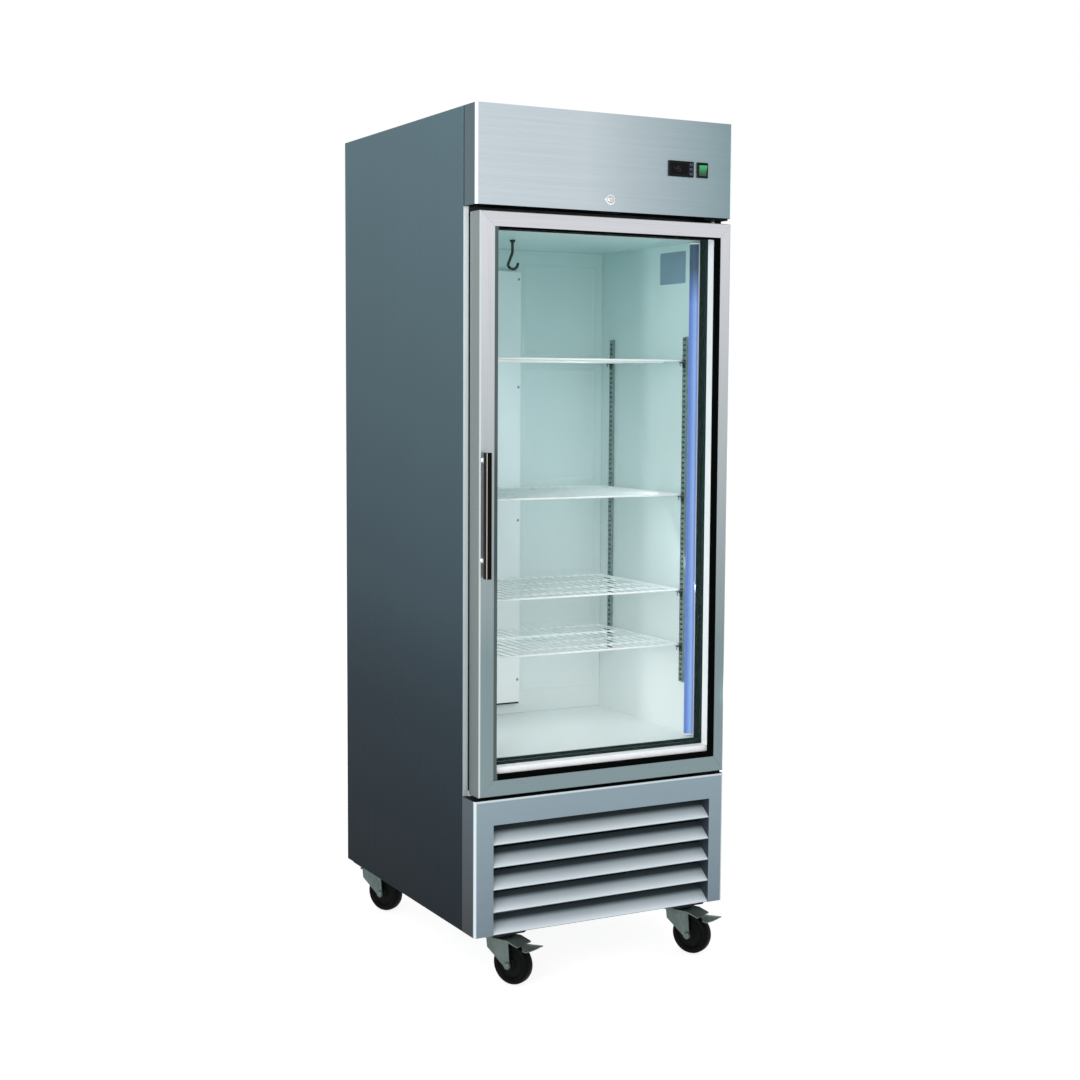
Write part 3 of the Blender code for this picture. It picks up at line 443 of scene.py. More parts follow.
def add_turned(shape, profile, matrix=Matrix(), segments=32):
    """Turned solid about Z from (radius, height) points; a radius of 0 closes on the axis."""
    rings = []
    for radius, height in profile:
        if radius == 0:
            rings.append([shape.verts.new(matrix @ Vector((0, 0, height)))] * segments)
            continue
        ring = []
        for k in range(segments):
            turn = 2 * math.pi * k / segments
            point = Vector((radius * math.cos(turn), radius * math.sin(turn), height))
            ring.append(shape.verts.new(matrix @ point))
        rings.append(ring)
    if profile[0][0] != 0:
        rings.append(rings[0])
    for lower, upper in zip(rings, rings[1:]):
        for k in range(segments):
            n = (k + 1) % segments
            corners = [lower[k], lower[n], upper[n], upper[k]]
            corners = [c for i, c in enumerate(corners) if c not in corners[:i]]
            if len(corners) > 2:
                shape.faces.new(corners)


def add_tube(shape, path, radius, sides=10, closed=False):
    """Round rod along a path, its section carried along without twist."""
    points = [Vector(p) for p in path]
    count = len(points)
    rings = []
    side = None
    for i, point in enumerate(points):
        before = points[(i - 1) % count] if closed or i else point
        after = points[(i + 1) % count] if closed or i < count - 1 else point
        ahead = (after - before).normalized()
        if side is None:
            side = ahead.orthogonal().normalized()
        side = (side - side.dot(ahead) * ahead).normalized()
        up = ahead.cross(side)
        ring = []
        for k in range(sides):
            turn = 2 * math.pi * k / sides
            ring.append(shape.verts.new(point + radius * (math.cos(turn) * side + math.sin(turn) * up)))
        rings.append(ring)
    pairs = list(zip(rings, rings[1:]))
    if closed:
        last, first = rings[-1], rings[0]
        start = min(range(sides), key=lambda k: (first[k].co - last[0].co).length)
        pairs.append((last, first[start:] + first[:start]))
    for lower, upper in pairs:
        for k in range(sides):
            n = (k + 1) % sides
            shape.faces.new((lower[k], lower[n], upper[n], upper[k]))
    if not closed:
        shape.faces.new(rings[0][::-1])
        shape.faces.new(rings[-1])


def add_prism(shape, outline, along):
    """Closed outline of points, swept by a vector."""
    first = [shape.verts.new(Vector(p)) for p in outline]
    second = [shape.verts.new(Vector(p) + Vector(along)) for p in outline]
    count = len(first)
    for i in range(count):
        j = (i + 1) % count
        shape.faces.new((first[i], first[j], second[j], second[i]))
    shape.faces.new(first)
    shape.faces.new(second)


def add_ring(shape, profile, rect):
    """Section swept round a rectangle in the XZ plane with mitred corners.

    The section's points are (distance in from the rectangle, y).
    """
    left, right, bottom, top = rect
    corners = ((left, bottom, 1, 1), (right, bottom, -1, 1), (right, top, -1, -1), (left, top, 1, -1))
    rings = [[shape.verts.new((x + sx * a, y, z + sz * a)) for a, y in profile] for x, z, sx, sz in corners]
    count = len(profile)
    for k in range(4):
        here, there = rings[k], rings[(k + 1) % 4]
        for i in range(count):
            j = (i + 1) % count
            shape.faces.new((here[i], here[j], there[j], there[i]))


def add_sheet_frame(shape, outer, inner, near, far):
    """Flat frame between two rectangles (left, right, bottom, top), from one y to another."""
    rings = []
    for left, right, bottom, top in (outer, inner):
        for y in (near, far):
            corners = ((left, bottom), (right, bottom), (right, top), (left, top))
            rings.append([shape.verts.new((x, y, z)) for x, z in corners])
    loops = (rings[0], rings[1], rings[3], rings[2])
    for i in range(4):
        here, there = loops[i], loops[(i + 1) % 4]
        for k in range(4):
            n = (k + 1) % 4
            shape.faces.new((here[k], here[n], there[n], there[k]))


def rounded_rect(x0, x1, y0, y1, radius, steps=4):
    """Corner points of a rectangle with round corners, anticlockwise."""
    points = []
    centres = ((x1 - radius, y1 - radius, 0), (x0 + radius, y1 - radius, 90),
               (x0 + radius, y0 + radius, 180), (x1 - radius, y0 + radius, 270))
    for cx, cy, first in centres:
        for step in range(steps + 1):
            turn = math.radians(first + 90 * step / steps)
            points.append((cx + radius * math.cos(turn), cy + radius * math.sin(turn)))
    return points


def facing(axis, point):
    """Matrix that lays a piece made about Z along another direction, at a point."""
    turn = Vector((0, 0, 1)).rotation_difference(Vector(axis)).to_matrix().to_4x4()
    return Matrix.Translation(Vector(point)) @ turn


def add_screw(shape, point, axis, radius=0.0042):
    """Low pan head with a shallow round recess in its crown."""
    matrix = facing(axis, point)
    crown = radius * 0.45
    add_turned(shape, [(0, 0), (radius, 0), (radius, crown * 0.35), (radius * 0.8, crown * 0.8),
                       (radius * 0.5, crown), (radius * 0.42, crown * 0.55), (0, crown * 0.35)], matrix, 16)


def grid_values(low, high, count):
    return [low + (high - low) * i / (count - 1) for i in range(count)]


def on_bend(centre, normal):
    """A face of an upright fold between the front and a side."""
    return abs(normal.x) > 0.15 and abs(normal.y) > 0.15


# ---- cabinet ------------------------------------------------------------------------------
def make_cabinet():
    for side in ("left", "right"):
        finished(f"side_panel_{side}", "side_steel", 0.0004,
                 parts=[("fold_highlight_steel", lambda c, n: n.y < -0.9)])
    finished("top_panel", "side_steel", 0.0004)
    finished("rear_panel", "galvanised", 0.0003)
    finished("base_tray", "galvanised", 0.0004,
             parts=[("shade_steel", lambda c, n: c.y < BODY_FRONT + 0.004)])
    finished("inner_liner", "liner", 0.0004)
    finished("evaporator_cover", "liner", 0.0004,
             parts=[("duct", lambda c, n: c.y < COVER_LOW.y + 0.002 and n.y < -0.9)])
    for end in ("top", "bottom"):
        finished(f"hinge_bracket_{end}", "shade_steel", 0.0006)


def make_cover_details():
    """Pressed panels beside the duct, the duct's screws, and a black strip of painted shade at its outlet."""
    y = COVER_LOW.y + 0.0144
    duct = 0.048
    proud, margin = 0.0016, 0.010
    lowest, highest = 0.575, 1.735
    levels = [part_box(f"shelf_{n}")[0].z for n in (4, 3, 2, 1)]
    bays = [(lowest, levels[0]), *zip(levels, levels[1:]), (levels[3], highest)]
    shape = bmesh.new()
    for left, right in ((-COVER_HIGH.x + 0.018, -duct - 0.012), (duct + 0.012, COVER_HIGH.x - 0.018)):
        for low, high in bays:
            outer = (left, right, low + 0.014, high - 0.014)
            profile = [(0, y), (0.004, y - proud), (margin, y - proud), (margin + 0.004, y)]
            add_ring(shape, profile, outer)
    piece("cover_pressings", shape, "liner", "cabinet")

    screws = bmesh.new()
    for z in (0.625, 1.05, 1.40, 1.68):
        for side in (-1, 1):
            add_screw(screws, (side * (duct - 0.006), COVER_LOW.y, z), (0, -1, 0), 0.0034)
    piece("cover_screws", screws, "pilaster", "cabinet")

    outlet = bmesh.new()
    near, top = COVER_LOW.y - 0.0006, 0.5655
    add_box(outlet, (-duct + 0.006, near, top - 0.0045), (duct - 0.002, near + 0.0004, top - 0.0005),
            0.0001, 1)
    piece("duct_outlet_shadow", outlet, "black_trim", "cabinet")


def make_liner_details():
    """Blank plate on the hinge-side wall, and a plug where that wall meets the ceiling."""
    wall = 0.303
    plate = bmesh.new()
    outline = rounded_rect(-0.233, -0.115, 1.660, 1.739, 0.003)
    add_prism(plate, [(wall, y, z) for y, z in outline], (-0.0006, 0, 0))
    inner = rounded_rect(-0.228, -0.120, 1.665, 1.734, 0.002)
    add_prism(plate, [(wall - 0.0006, y, z) for y, z in inner], (-0.0003, 0, 0))
    piece("wall_plate", plate, "label", "cabinet")
    plug = bmesh.new()
    add_turned(plug, [(0, 0), (0.009, 0), (0.009, 0.002), (0.006, 0.0045), (0, 0.005)],
               facing((-0.7, 0, -0.7), (wall - 0.001, -0.091, LINER_HIGH.z - 0.0022)), 20)
    piece("ceiling_plug", plug, "black_plastic", "cabinet")


def make_pilaster(node):
    """Folded channel with a slot every half inch for the shelf clips."""
    low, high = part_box(node)
    inward = 1 if low.x < 0 else -1
    web = high.x if inward > 0 else low.x
    wall = low.x if inward > 0 else high.x
    pitch, slot_height, slot_width = 0.0127, 0.0048, 0.0098
    count = int((high.z - low.z) / pitch)
    middle = (low.y + high.y) / 2
    columns = [low.y, middle - slot_width / 2, middle + slot_width / 2, high.y]
    levels = [low.z]
    for number in range(count):
        start = low.z + pitch * (number + 0.5) - slot_height / 2
        levels += [start, start + slot_height]
    levels.append(high.z)
    shape = bmesh.new()
    grid = [[shape.verts.new((web, y, z)) for y in columns] for z in levels]
    for row in range(len(levels) - 1):
        for column in range(3):
            if column == 1 and row % 2:
                continue
            shape.faces.new((grid[row][column], grid[row][column + 1],
                             grid[row + 1][column + 1], grid[row + 1][column]))
    for column in (0, 3):
        edge = [grid[row][column] for row in range(len(levels))]
        back = [shape.verts.new((wall - inward * 0.0001, v.co.y, v.co.z)) for v in edge]
        for row in range(len(edge) - 1):
            shape.faces.new((edge[row], edge[row + 1], back[row + 1], back[row]))
    for vert in shape.verts:
        vert.co.x -= inward * 0.00005
    bmesh.ops.recalc_face_normals(shape, faces=shape.faces)
    bmesh.ops.solidify(shape, geom=shape.faces[:], thickness=0.0011)
    inside = [v for v in shape.verts if v.co.x * inward > web * inward or v.co.y < low.y or v.co.y > high.y]
    for vert in inside:
        vert.co.x = min(max(vert.co.x, low.x), high.x)
        vert.co.y = min(max(vert.co.y, low.y), high.y)
    piece(f"{node}_channel", shape, "pilaster", "cabinet", (node,), 30)
    # Painted shade: a black strip behind the slots stands for the shade inside the channel.
    backing = bmesh.new()
    depth = wall + inward * 0.0006
    add_box(backing, (min(wall, depth), low.y + 0.002, low.z + 0.002),
            (max(wall, depth), high.y - 0.002, high.z - 0.002))
    piece(f"{node}_shadow_strip", backing, "black_trim", "cabinet")


def make_clip(shape, side, y, z):
    """Bent steel shelf clip: a hooked tab in the slots and a seat under the shelf's rim."""
    wall = side * 0.2966
    reach = side * 0.2836
    front = y - 0.0055
    outline = [(wall, z - 0.0012), (reach, z - 0.0012), (reach, z - 0.0030),
               (wall - side * 0.0035, z - 0.0040), (wall - side * 0.0012, z - 0.0165), (wall, z - 0.0165)]
    add_prism(shape, [(x, front, level) for x, level in outline], (0, 0.011, 0))
    lip = [(reach + side * 0.001, z - 0.0022), (reach - side * 0.0022, z - 0.004),
           (reach - side * 0.003, z - 0.008), (reach - side * 0.0005, z - 0.0105)]
    add_tube(shape, [(x, front, level) for x, level in lip], 0.0011, 6)


def make_clips():
    shape = bmesh.new()
    middles = [sum((v.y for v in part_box(f"pilaster_left_{place}")), 0.0) / 2 for place in ("front", "rear")]
    for number in (1, 2, 3, 4):
        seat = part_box(f"shelf_{number}")[0].z
        for side in (-1, 1):
            for y in middles:
                make_clip(shape, side, y, seat)
    piece("shelf_clips", shape, "black_metal", "cabinet", edge=0.0003)


def make_shelf(number):
    """Coated wire shelf: round rim, cross rods under it and wires welded on top."""
    node = f"shelf_{number}"
    low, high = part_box(node)
    rim, rod, wire = 0.0025, 0.0022, 0.0016
    top = high.z
    shape = bmesh.new()
    corner = rounded_rect(low.x + rim, high.x - rim, low.y + rim, high.y - rim, 0.010, 5)
    add_tube(shape, [(x, y, top - rim) for x, y in corner], rim, 10, True)
    for setback in (0.095, 0.190, 0.300):
        y = low.y + setback
        z = top - 2 * wire - rod
        add_tube(shape, [(low.x + rim, y, z), (high.x - rim, y, z)], rod, 8)
    count = 24
    pitch = (high.x - low.x) / count
    for k in range(1, count):
        x = low.x + pitch * k
        add_tube(shape, [(x, low.y + rim, top - rim), (x, low.y + 0.008, top - wire),
                         (x, high.y - 0.008, top - wire), (x, high.y - rim, top - rim)], wire, 8)
    piece(f"{node}_wires", shape, "wire_white", node, (node,), 60)


def make_light_strip():
    """Shallow channel on the wall with a bulging diffuser and two end caps, in the front corner."""
    low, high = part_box("led_strip")
    middle = (low.y + high.y) / 2
    channel = bmesh.new()
    lip, web = high.x - 0.005, high.x - 0.0012
    outline = [(high.x, low.y), (high.x, high.y), (lip, high.y), (lip, high.y - 0.0012),
               (web, high.y - 0.0012), (web, low.y + 0.0012), (lip, low.y + 0.0012), (lip, low.y)]
    add_prism(channel, [(x, y, low.z) for x, y in outline], (0, 0, high.z - low.z))
    piece("led_channel", channel, "aluminium", "cabinet", ("led_strip",), edge=0.0002)

    def bulge(inset):
        points = []
        reach, half = high.x - 0.0015 - low.x - inset, high.y - middle - 0.0014 - inset
        for step in range(25):
            turn = math.radians(-90 + 180 * step / 24)
            across, out = math.sin(turn), math.cos(turn)
            aside = half * math.copysign(abs(across) ** 0.8, across)
            points.append((high.x - 0.0015 - reach * abs(out) ** 0.8, middle + aside))
        return points

    domed = bmesh.new()
    add_prism(domed, [(x, y, low.z + 0.003) for x, y in bulge(0.0004)], (0, 0, high.z - low.z - 0.006))
    piece("led_diffuser", domed, "lens", "cabinet", sharp=50)
    caps = bmesh.new()
    for z in (low.z, high.z - 0.003):
        add_prism(caps, [(x, y, z) for x, y in bulge(0.0)], (0, 0, 0.003))
    piece("led_end_caps", caps, "wire_white", "cabinet", edge=0.0003)


def make_hook():
    """Round-wire hook hanging from a small screwed plate."""
    low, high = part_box("ceiling_hook")
    radius = 0.0035
    bowl = 0.0138
    x, y = high.x - radius - bowl - 0.001, (low.y + high.y) / 2
    centre = Vector((x + 0.001, y, low.z + bowl + radius))
    path = [Vector((x, y, high.z - 0.001)), Vector((x, y, high.z - 0.026)),
            Vector((x - 0.0015, y, high.z - 0.034))]
    for step in range(13):
        turn = math.radians(196 + 172 * step / 12)
        path.append(centre + bowl * Vector((math.cos(turn), 0, math.sin(turn))))
    shape = bmesh.new()
    add_tube(shape, path, radius, 12)
    add_turned(shape, [(0, 0), (0.0075, 0), (0.0070, 0.0022), (0.0045, 0.0060), (0, 0.0060)],
               facing((0, 0, -1), (x, y, high.z)), 20)
    piece("ceiling_hook_wire", shape, "black_metal", "cabinet", ("ceiling_hook",), 50)


# ---- header -------------------------------------------------------------------------------
def add_key_surround(shape, low, high, front, rear):
    """The bezel's face, left open round each key so that it can be pressed into its pocket."""
    margin, gap = 0.0010, 0.0004
    keys = [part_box(name) for name in ("key_up", "key_set", "key_down")]
    left, right = keys[0][0].x - gap, keys[0][1].x + gap
    for near, far in ((low.x + margin, left), (right, high.x - margin)):
        add_box(shape, (near, front, low.z + margin), (far, rear, high.z - margin))
    levels = [high.z - margin]
    for key_low, key_high in keys:
        levels += [key_high.z + gap, key_low.z - gap]
    levels.append(low.z + margin)
    for upper, lower in zip(levels[0::2], levels[1::2]):
        add_box(shape, (left - 0.0002, front, lower), (right + 0.0002, rear, upper))


def make_header():
    finished("header_hood", "header_steel", 0.0003, parts=[
        ("fold_highlight_steel", on_bend),
        ("shade_steel", lambda c, n: abs(n.z) > 0.9 and c.z < HEADER_LOW.z + 0.01),
    ])
    low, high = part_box("controller_body")
    back = FRONT - 0.0003
    face = low.y
    bezel = bmesh.new()
    outer = rounded_rect(low.x, high.x, low.z, high.z, 0.0035)
    window = (low.x + 0.0040, low.x + 0.0530, low.z + 0.0055, high.z - 0.0055)
    pocket_floor = face + 0.0026
    add_prism(bezel, [(x, pocket_floor, z) for x, z in outer], (0, back - pocket_floor, 0))
    rim_profile = [(0, pocket_floor + 0.0002), (0, face + 0.0012), (0.0008, face), (0.0020, face),
                   (0.0032, face + 0.0014), (0.0032, pocket_floor + 0.0002)]
    add_ring(bezel, rim_profile, (low.x + 0.0003, high.x - 0.0003, low.z + 0.0003, high.z - 0.0003))
    add_key_surround(bezel, low, high, face + 0.0010, pocket_floor + 0.0002)
    piece("controller_bezel", bezel, "black_plastic", "cabinet", ("controller_body",),
          edge=0.0003)
    lens = bmesh.new()
    glass = rounded_rect(window[0] + 0.0012, window[1], window[2], window[3], 0.0015)
    add_prism(lens, [(x, face + 0.0006, z) for x, z in glass], (0, 0.0012, 0))
    piece("display_window", lens, "display", "cabinet", edge=0.0002)
    make_digits(window, face + 0.0006)
    for key in ("key_up", "key_set", "key_down"):
        finished(key, "key", 0.0005, 3)


def make_digits(window, face):
    """Two seven-segment figures on the face of the dark window."""
    shape = bmesh.new()
    height, width, stroke = 0.0110, 0.0062, 0.0012
    centre_z = (window[2] + window[3]) / 2
    figures = (("bcfg", window[0] + 0.015), ("acdfg", window[0] + 0.025))
    rows = {"a": height / 2, "g": 0.0, "d": -height / 2}
    uprights = {"f": (-1, 1), "b": (1, 1), "e": (-1, -1), "c": (1, -1)}
    for segments, x in figures:
        for name in segments:
            if name in rows:
                low = (x - width / 2, face - 0.00015, centre_z + rows[name] - stroke / 2)
                high = (x + width / 2, face, centre_z + rows[name] + stroke / 2)
            else:
                side, half = uprights[name]
                middle = x + side * (width / 2 + stroke * 0.8)
                ends = sorted((half * 0.0009, half * (height / 2 - 0.0006)))
                low = (middle - stroke / 2, face - 0.00015, centre_z + ends[0])
                high = (middle + stroke / 2, face, centre_z + ends[1])
            add_box(shape, low, high)
    piece("display_digits", shape, "digit", "cabinet")


def make_switch():
    low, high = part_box("switch_housing")
    face, back = low.y, FRONT - 0.0003
    housing = bmesh.new()
    profile = [(0, back), (0, face + 0.0010), (0.0010, face), (0.0036, face),
               (0.0044, face + 0.0012), (0.0044, back)]
    add_ring(housing, profile, (low.x, high.x, low.z, high.z))
    piece("switch_bezel", housing, "black_plastic", "cabinet", ("switch_housing",),
          edge=0.0003)
    finished("switch_rocker", "green", 0.0007, 3)


def make_lock():
    barrel = bmesh.new()
    low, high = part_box("lock_barrel")
    centre = ((low.x + high.x) / 2, FRONT, (low.z + high.z) / 2)
    profile = [(0.0070, 0.0006), (0.0074, 0.0032), (0.0082, 0.0035), (0.0112, 0.0033), (0.0122, 0.0026),
               (0.0125, 0.0016), (0.0125, 0.0003), (0.0095, 0.0003), (0.0095, -0.0240), (0.0070, -0.0240)]
    add_turned(barrel, profile, facing((0, -1, 0), centre), 48)
    piece("lock_ring", barrel, "chrome", "cabinet", ("lock_barrel",))
    finished("lock_plug", "chrome", 0.0003)


# ---- grille and machine compartment -------------------------------------------------------
def make_grille():
    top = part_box("grille_panel")[1].z
    left, right, blades_top, blades_back = -0.2945, 0.3025, 0.3885, FRONT + 0.047
    cheek_limit = 0.33

    def on_blade(centre, normal):
        inside = left < centre.x < right and centre.z < blades_top and centre.y < blades_back
        return inside and abs(normal.x) < 0.2 and normal.y > -0.9

    finished("grille_panel", "grille_steel", 0.0003, parts=[
        ("fold_highlight_steel", on_bend),
        ("shade_steel", lambda c, n: abs(n.z) > 0.9 and c.z > top - 0.01),
        ("blade_steel", lambda c, n: on_blade(c, n) and n.z > -0.2),
        ("shade_steel", lambda c, n: on_blade(c, n) and n.z <= -0.2),
        ("cheek_shade_steel", lambda c, n: abs(n.x) > 0.9 and -cheek_limit < c.x < cheek_limit),
    ])


def make_fins():
    """Close-set upright fins in front of the condenser coil."""
    low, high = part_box("condenser_coil")
    shape = bmesh.new()
    pitch, sheet, depth = 0.0045, 0.0006, 0.003
    count = int((high.x - low.x) / pitch) - 1
    for k in range(count):
        x = low.x + pitch * (k + 0.8)
        add_box(shape, (x, low.y - depth, low.z + 0.004), (x + sheet, low.y - 0.0003, high.z - 0.004))
    piece("condenser_coil_fins", shape, "fin", "cabinet")


def make_machine():
    finished("condenser_coil", "black_metal", 0.0004)
    finished("evaporator_coil", "aluminium", 0.0004)
    finished("condenser_fan", "black_plastic", 0.0004)
    finished("evaporator_fan", "black_plastic", 0.0004)
    finished("insulation_foam", "insulation", 0.0)
    make_fins()
    low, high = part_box("compressor")
    centre = Vector(((low.x + high.x) / 2, (low.y + high.y) / 2, 0))
    shape = bmesh.new()
    profile = [(0, low.z + 0.012), (0.052, low.z + 0.013), (0.066, low.z + 0.022),
               (0.0705, low.z + 0.040), (0.071, low.z + 0.083), (0.0722, low.z + 0.085),
               (0.0722, low.z + 0.090), (0.071, low.z + 0.092), (0.069, low.z + 0.122),
               (0.060, low.z + 0.145), (0.040, low.z + 0.160), (0, high.z - 0.001)]
    add_turned(shape, profile, Matrix.Translation(centre), 48)
    for sx in (-1, 1):
        for sy in (-1, 1):
            foot = centre + Vector((sx * 0.068, sy * 0.042, low.z))
            add_turned(shape, [(0, 0), (0.013, 0), (0.010, 0.009), (0.013, 0.018), (0, 0.018)],
                       Matrix.Translation(foot), 16)
    add_box(shape, centre + Vector((-0.085, -0.055, low.z + 0.0085)),
            centre + Vector((0.085, 0.055, low.z + 0.0125)), 0.001)
    piece("compressor_shell", shape, "black_metal", "cabinet", ("compressor",), 40)
    pipe = bmesh.new()
    bends = ((-0.069, 0, 0.10), (-0.095, -0.01, 0.10), (-0.115, -0.05, 0.10), (-0.120, -0.12, 0.12),
             (-0.120, -0.26, 0.16))
    path = [centre + Vector((x, y, low.z + rise)) for x, y, rise in bends]
    add_tube(pipe, [*path, (0.08, -0.14, low.z + 0.20)], 0.004, 10)
    piece("discharge_pipe", pipe, "copper", "cabinet", sharp=60)


# ---- door ---------------------------------------------------------------------------------
def make_door():
    for side in ("left", "right"):
        # The stiles' bends carry a painted highlight.
        finished(f"door_stile_{side}", "stile_steel", 0.0003, sharp=40,
                 parts=[("bend_highlight_steel", on_bend)])
    for side in ("top", "bottom"):
        finished(f"door_rail_{side}", "rail_steel", 0.0003, sharp=40)
    finished("glazing_bead", "bead", 0.0006, 3)
    finished("glass_spacer", "aluminium", 0.0003)
    finished("door_inner_frame", "black_plastic", 0.0006, 3)
    for node in ("glass_front", "glass_rear"):
        finished(node, "glass", 0.0005, 2)
    low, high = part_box("door_gasket")
    gasket = bmesh.new()
    deep = high.y - low.y
    shallow, waist, far = (low.y + share * deep for share in (0.3, 0.45, 0.6))
    profile = [(0, low.y + 0.001), (0, shallow), (0.0025, waist), (0, far),
               (0, high.y - 0.001), (0.001, high.y), (0.013, high.y), (0.014, high.y - 0.001),
               (0.014, far), (0.0115, waist), (0.014, shallow), (0.014, low.y), (0.001, low.y)]
    add_ring(gasket, profile, (low.x, high.x, low.z, high.z))
    tucked = 0.0135
    lip_left, lip_right, lip_bottom, lip_top = 0.024, 0.030, 0.0680, 0.028
    inner = (low.x + lip_left, high.x - lip_right, low.z + lip_bottom, high.z - lip_top)
    outer = (low.x + tucked, high.x - tucked, low.z + tucked, high.z - tucked)
    add_sheet_frame(gasket, outer, inner, high.y - 0.0030, high.y - 0.0015)
    piece("door_gasket_bellows", gasket, "rubber", "door", ("door_gasket",), 50)
    make_handle()


def make_handle():
    """Slim bar with softened edges on two round posts."""
    low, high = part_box("door_handle")
    x = (low.x + high.x) / 2
    bar_back = FRONT - 0.014
    bar = bmesh.new()
    outline = rounded_rect(low.x, high.x, low.y, bar_back, 0.0024, 4)
    add_prism(bar, [(px, py, low.z) for px, py in outline], (0, 0, high.z - low.z))
    piece("handle_bar", bar, "black_gloss", "door", ("door_handle",), 50, 0.0010, 3,
          [("rim_light", lambda c, n: n.x < -0.35 and n.y < -0.35)])
    posts = bmesh.new()
    for z in (low.z + 0.041, high.z - 0.018):
        profile = [(0, 0.0003), (0.0062, 0.0003), (0.0062, 0.0020),
                   (0.0048, 0.0030), (0.0048, 0.0138), (0, 0.0138)]
        add_turned(posts, profile, facing((0, -1, 0), (x, FRONT, z)), 24)
    piece("handle_posts", posts, "chrome", "door")


# ---- casters ------------------------------------------------------------------------------
def make_wheel(corner):
    joint = JOINTS[f"roll_{corner}"]
    matrix = facing(joint["axis"], joint["pos_m"])
    half = 0.016
    rubber = [(0.0340, -half + 0.0042), (0.0362, -half + 0.0014), (0.0400, -half + 0.0006),
              (0.0442, -half + 0.0012), (0.0478, -half + 0.0040), (0.0495, -half + 0.0085), (0.0500, 0.0)]
    rubber += [(radius, -z) for radius, z in reversed(rubber[:-1])]
    tread = bmesh.new()
    add_turned(tread, rubber, matrix, 64)
    piece(f"wheel_tread_{corner}", tread, "tyre", f"caster_wheel_{corner}",
          (f"caster_wheel_{corner}",), 50)
    hub = [(0.0048, -half), (0.0120, -half), (0.0135, -half + 0.0010), (0.0150, -half + 0.0052),
           (0.0310, -half + 0.0064), (0.0335, -half + 0.0036), (0.0340, -half + 0.0036)]
    hub += [(radius, -z) for radius, z in reversed(hub)]
    centre = bmesh.new()
    add_turned(centre, hub, matrix, 48)
    piece(f"wheel_hub_{corner}", centre, "hub_black", f"caster_wheel_{corner}", (), 40)


def make_axle_nut(corner):
    """Washer and hexagon at each end of the fork's axle bolt."""
    joint = JOINTS[f"roll_{corner}"]
    axis, centre = Vector(joint["axis"]), Vector(joint["pos_m"])
    shape = bmesh.new()
    for side in (-1, 1):
        matrix = facing(side * axis, centre + side * axis * 0.0241)
        add_turned(shape, [(0, 0), (0.0092, 0), (0.0092, 0.0010), (0, 0.0010)], matrix, 24)
        head = [(0, 0.0010), (0.0076, 0.0010), (0.0076, 0.0042), (0.0060, 0.0052), (0, 0.0052)]
        add_turned(shape, head, matrix, 6)
    piece(f"axle_nut_{corner}", shape, "zinc", f"caster_fork_{corner}", (), 20)


def make_plate_bolts(corner):
    low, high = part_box(f"caster_plate_{corner}")
    shape = bmesh.new()
    for x in (low.x + 0.013, high.x - 0.013):
        for y in (low.y + 0.016, high.y - 0.016):
            matrix = facing((0, 0, -1), (x, y, high.z - 0.004))
            head = [(0, 0), (0.0062, 0), (0.0062, 0.0034), (0.0050, 0.0042), (0, 0.0042)]
            add_turned(shape, head, matrix, 6)
    piece(f"plate_bolts_{corner}", shape, "zinc", "cabinet", (), 20)


def make_casters():
    for corner in ("front_left", "front_right", "rear_left", "rear_right"):
        finished(f"caster_plate_{corner}", "black_metal", 0.0005)
        # The forks' upward faces carry painted shade.
        finished(f"caster_fork_{corner}", "zinc", 0.0005,
                 parts=[("crown_shade", lambda c, n: n.z > 0.7)])
        make_wheel(corner)
        make_axle_nut(corner)
        make_plate_bolts(corner)
        if f"brake_pedal_{corner}" in NODES:
            # The pedals' upward faces carry painted light.
            finished(f"brake_pedal_{corner}", "zinc", 0.0005,
                     parts=[("pedal_lit_zinc", lambda c, n: n.z > 0.5)])


# ---- back ---------------------------------------------------------------------------------
def make_back_screws():
    low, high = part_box("rear_panel")
    shape = bmesh.new()
    for x in (low.x + 0.018, high.x - 0.018):
        for z in grid_values(low.z + 0.05, high.z - 0.05, 8):
            add_screw(shape, (x, high.y, z), (0, 1, 0), 0.0032)
    for x in grid_values(low.x + 0.12, high.x - 0.12, 4):
        for z in (low.z + 0.02, high.z - 0.03):
            add_screw(shape, (x, high.y, z), (0, 1, 0), 0.0032)
    piece("rear_screws", shape, "zinc", "cabinet")


# ---- stage --------------------------------------------------------------------------------
def make_floor():
    mesh = bpy.data.meshes.new("floor")
    half, drop = 30.0, 0.0002
    corners = [(-half, -half, -drop), (half, -half, -drop), (half, half, -drop), (-half, half, -drop)]
    mesh.from_pydata(corners, [], [(0, 1, 2, 3)])
    floor = bpy.data.objects.new("floor", mesh)
    bpy.context.scene.collection.objects.link(floor)
    finish = Finish("floor_paint", Roughness=0.9, Specular_IOR_Level=0.0, Emission_Color=(1.0, 1.0, 1.0),
                    Emission_Strength=0.84)
    cloud = finish.noise((0.8, 0.8, 0.8), 2.0)
    finish.set("Base Color", finish.shade("8c8c8c", cloud, 0.995, 1.005))
    mesh.materials.append(finish.material)


def make_light_source(name, place, aim, size, power, colour=(1.0, 1.0, 1.0)):
    data = bpy.data.lights.new(name, "AREA")
    data.shape = "RECTANGLE"
    data.size, data.size_y = size
    data.energy = power
    data.color = colour
    light = bpy.data.objects.new(name, data)
    bpy.context.scene.collection.objects.link(light)
    light.location = place
    light.rotation_euler = (Vector(aim) - Vector(place)).to_track_quat("-Z", "Y").to_euler()
    light.visible_camera = False


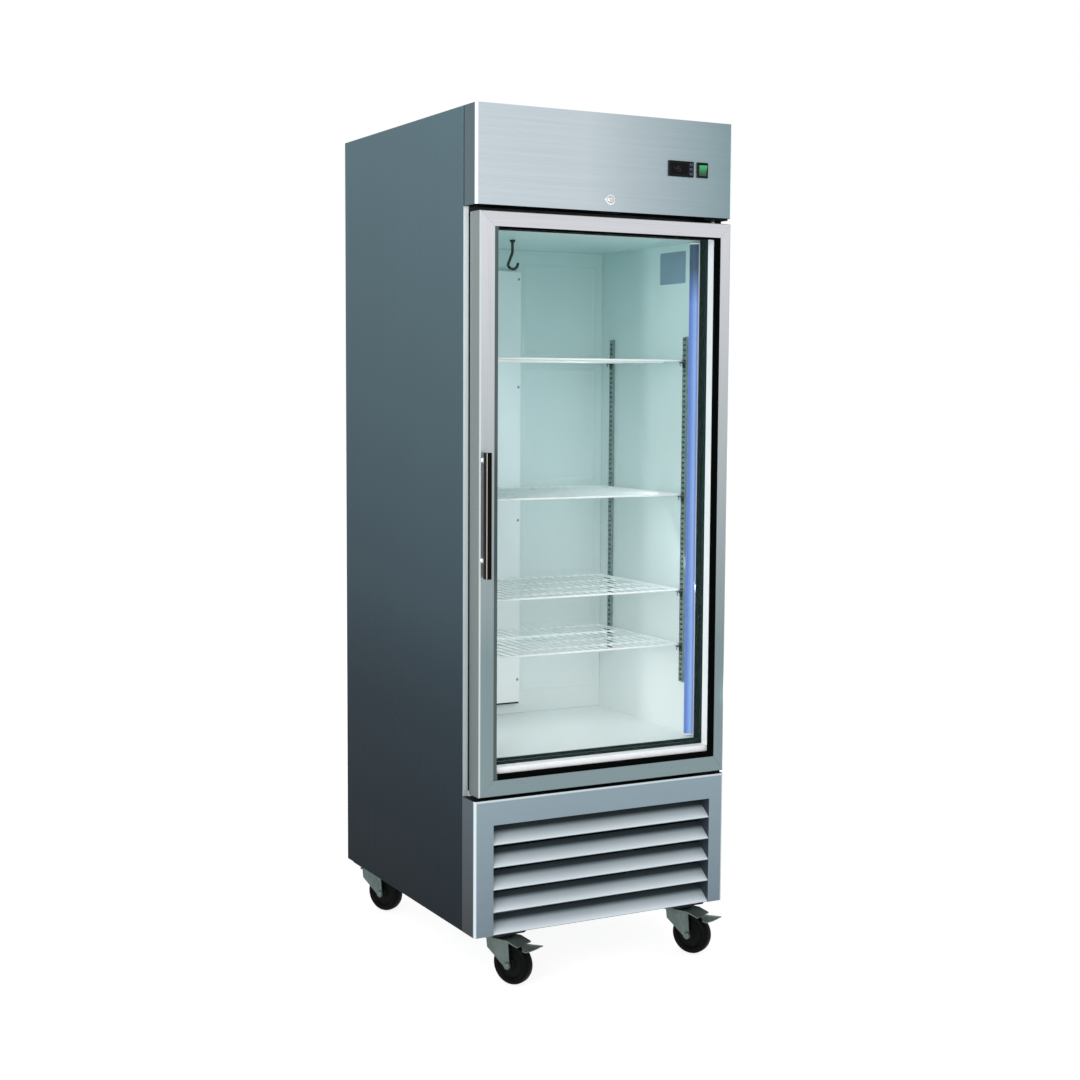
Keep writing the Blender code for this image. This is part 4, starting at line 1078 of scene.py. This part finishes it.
def make_world():
    """White for the camera, soft grey-white for the light it gives."""
    world = bpy.data.worlds.new("studio")
    world.use_nodes = True
    nodes, links = world.node_tree.nodes, world.node_tree.links
    backdrop = nodes["Background"]
    backdrop.inputs["Color"].default_value = (1.0, 1.0, 1.0, 1.0)
    rays = nodes.new("ShaderNodeLightPath")
    strength = nodes.new("ShaderNodeMapRange")
    strength.inputs["To Min"].default_value = 0.86
    strength.inputs["To Max"].default_value = 1.0
    links.new(rays.outputs["Is Camera Ray"], strength.inputs["Value"])
    links.new(strength.outputs["Result"], backdrop.inputs["Strength"])
    bpy.context.scene.world = world
    bpy.context.scene.view_settings.view_transform = "Standard"


def make_camera():
    place, lens_mm, sensor_mm = (-2.07265, -3.92301, 1.403), 58.24, 36.0
    yaw, pitch, roll = math.radians(28.102), math.radians(-5.033), math.radians(0.320)
    ahead = Vector((math.sin(yaw) * math.cos(pitch), math.cos(yaw) * math.cos(pitch), math.sin(pitch)))
    level = ahead.cross(Vector((0, 0, 1))).normalized()
    upright = level.cross(ahead)
    right = math.cos(roll) * level + math.sin(roll) * upright
    up = math.cos(roll) * upright - math.sin(roll) * level
    data = bpy.data.cameras.new("camera")
    data.lens = lens_mm
    data.sensor_width = sensor_mm
    camera = bpy.data.objects.new("camera", data)
    bpy.context.scene.collection.objects.link(camera)
    turn = Matrix((right, up, -ahead)).transposed().to_4x4()
    camera.matrix_world = Matrix.Translation(place) @ turn
    bpy.context.scene.camera = camera


def make_lights():
    middle = (0, 0, 1.0)
    make_light_source("key", (-3.0, -3.4, 2.7), middle, (0.9, 2.4), 60)
    make_light_source("edge", (-3.4, -2.1, 1.1), middle, (0.25, 3.0), 45)
    make_light_source("cavity_low", (0, -0.08, 0.745), (0, 0.05, 0.0), (0.50, 0.26), 0.27, (0.95, 1.0, 1.0))
    make_light_source("cavity_side", (0.262, -0.25, 1.05), (-0.15, 0.12, 0.8), (0.03, 0.95), 0.78,
                      (0.85, 0.93, 1.0))


make_finishes()
make_camera()
make_world()
make_lights()
make_floor()
make_cabinet()
make_cover_details()
make_liner_details()
for place in ("left_front", "left_rear", "right_front", "right_rear"):
    make_pilaster(f"pilaster_{place}")
make_clips()
for shelf in (1, 2, 3, 4):
    make_shelf(shelf)
make_light_strip()
make_hook()
make_header()
make_switch()
make_lock()
make_grille()
make_machine()
make_door()
make_casters()
make_back_screws()
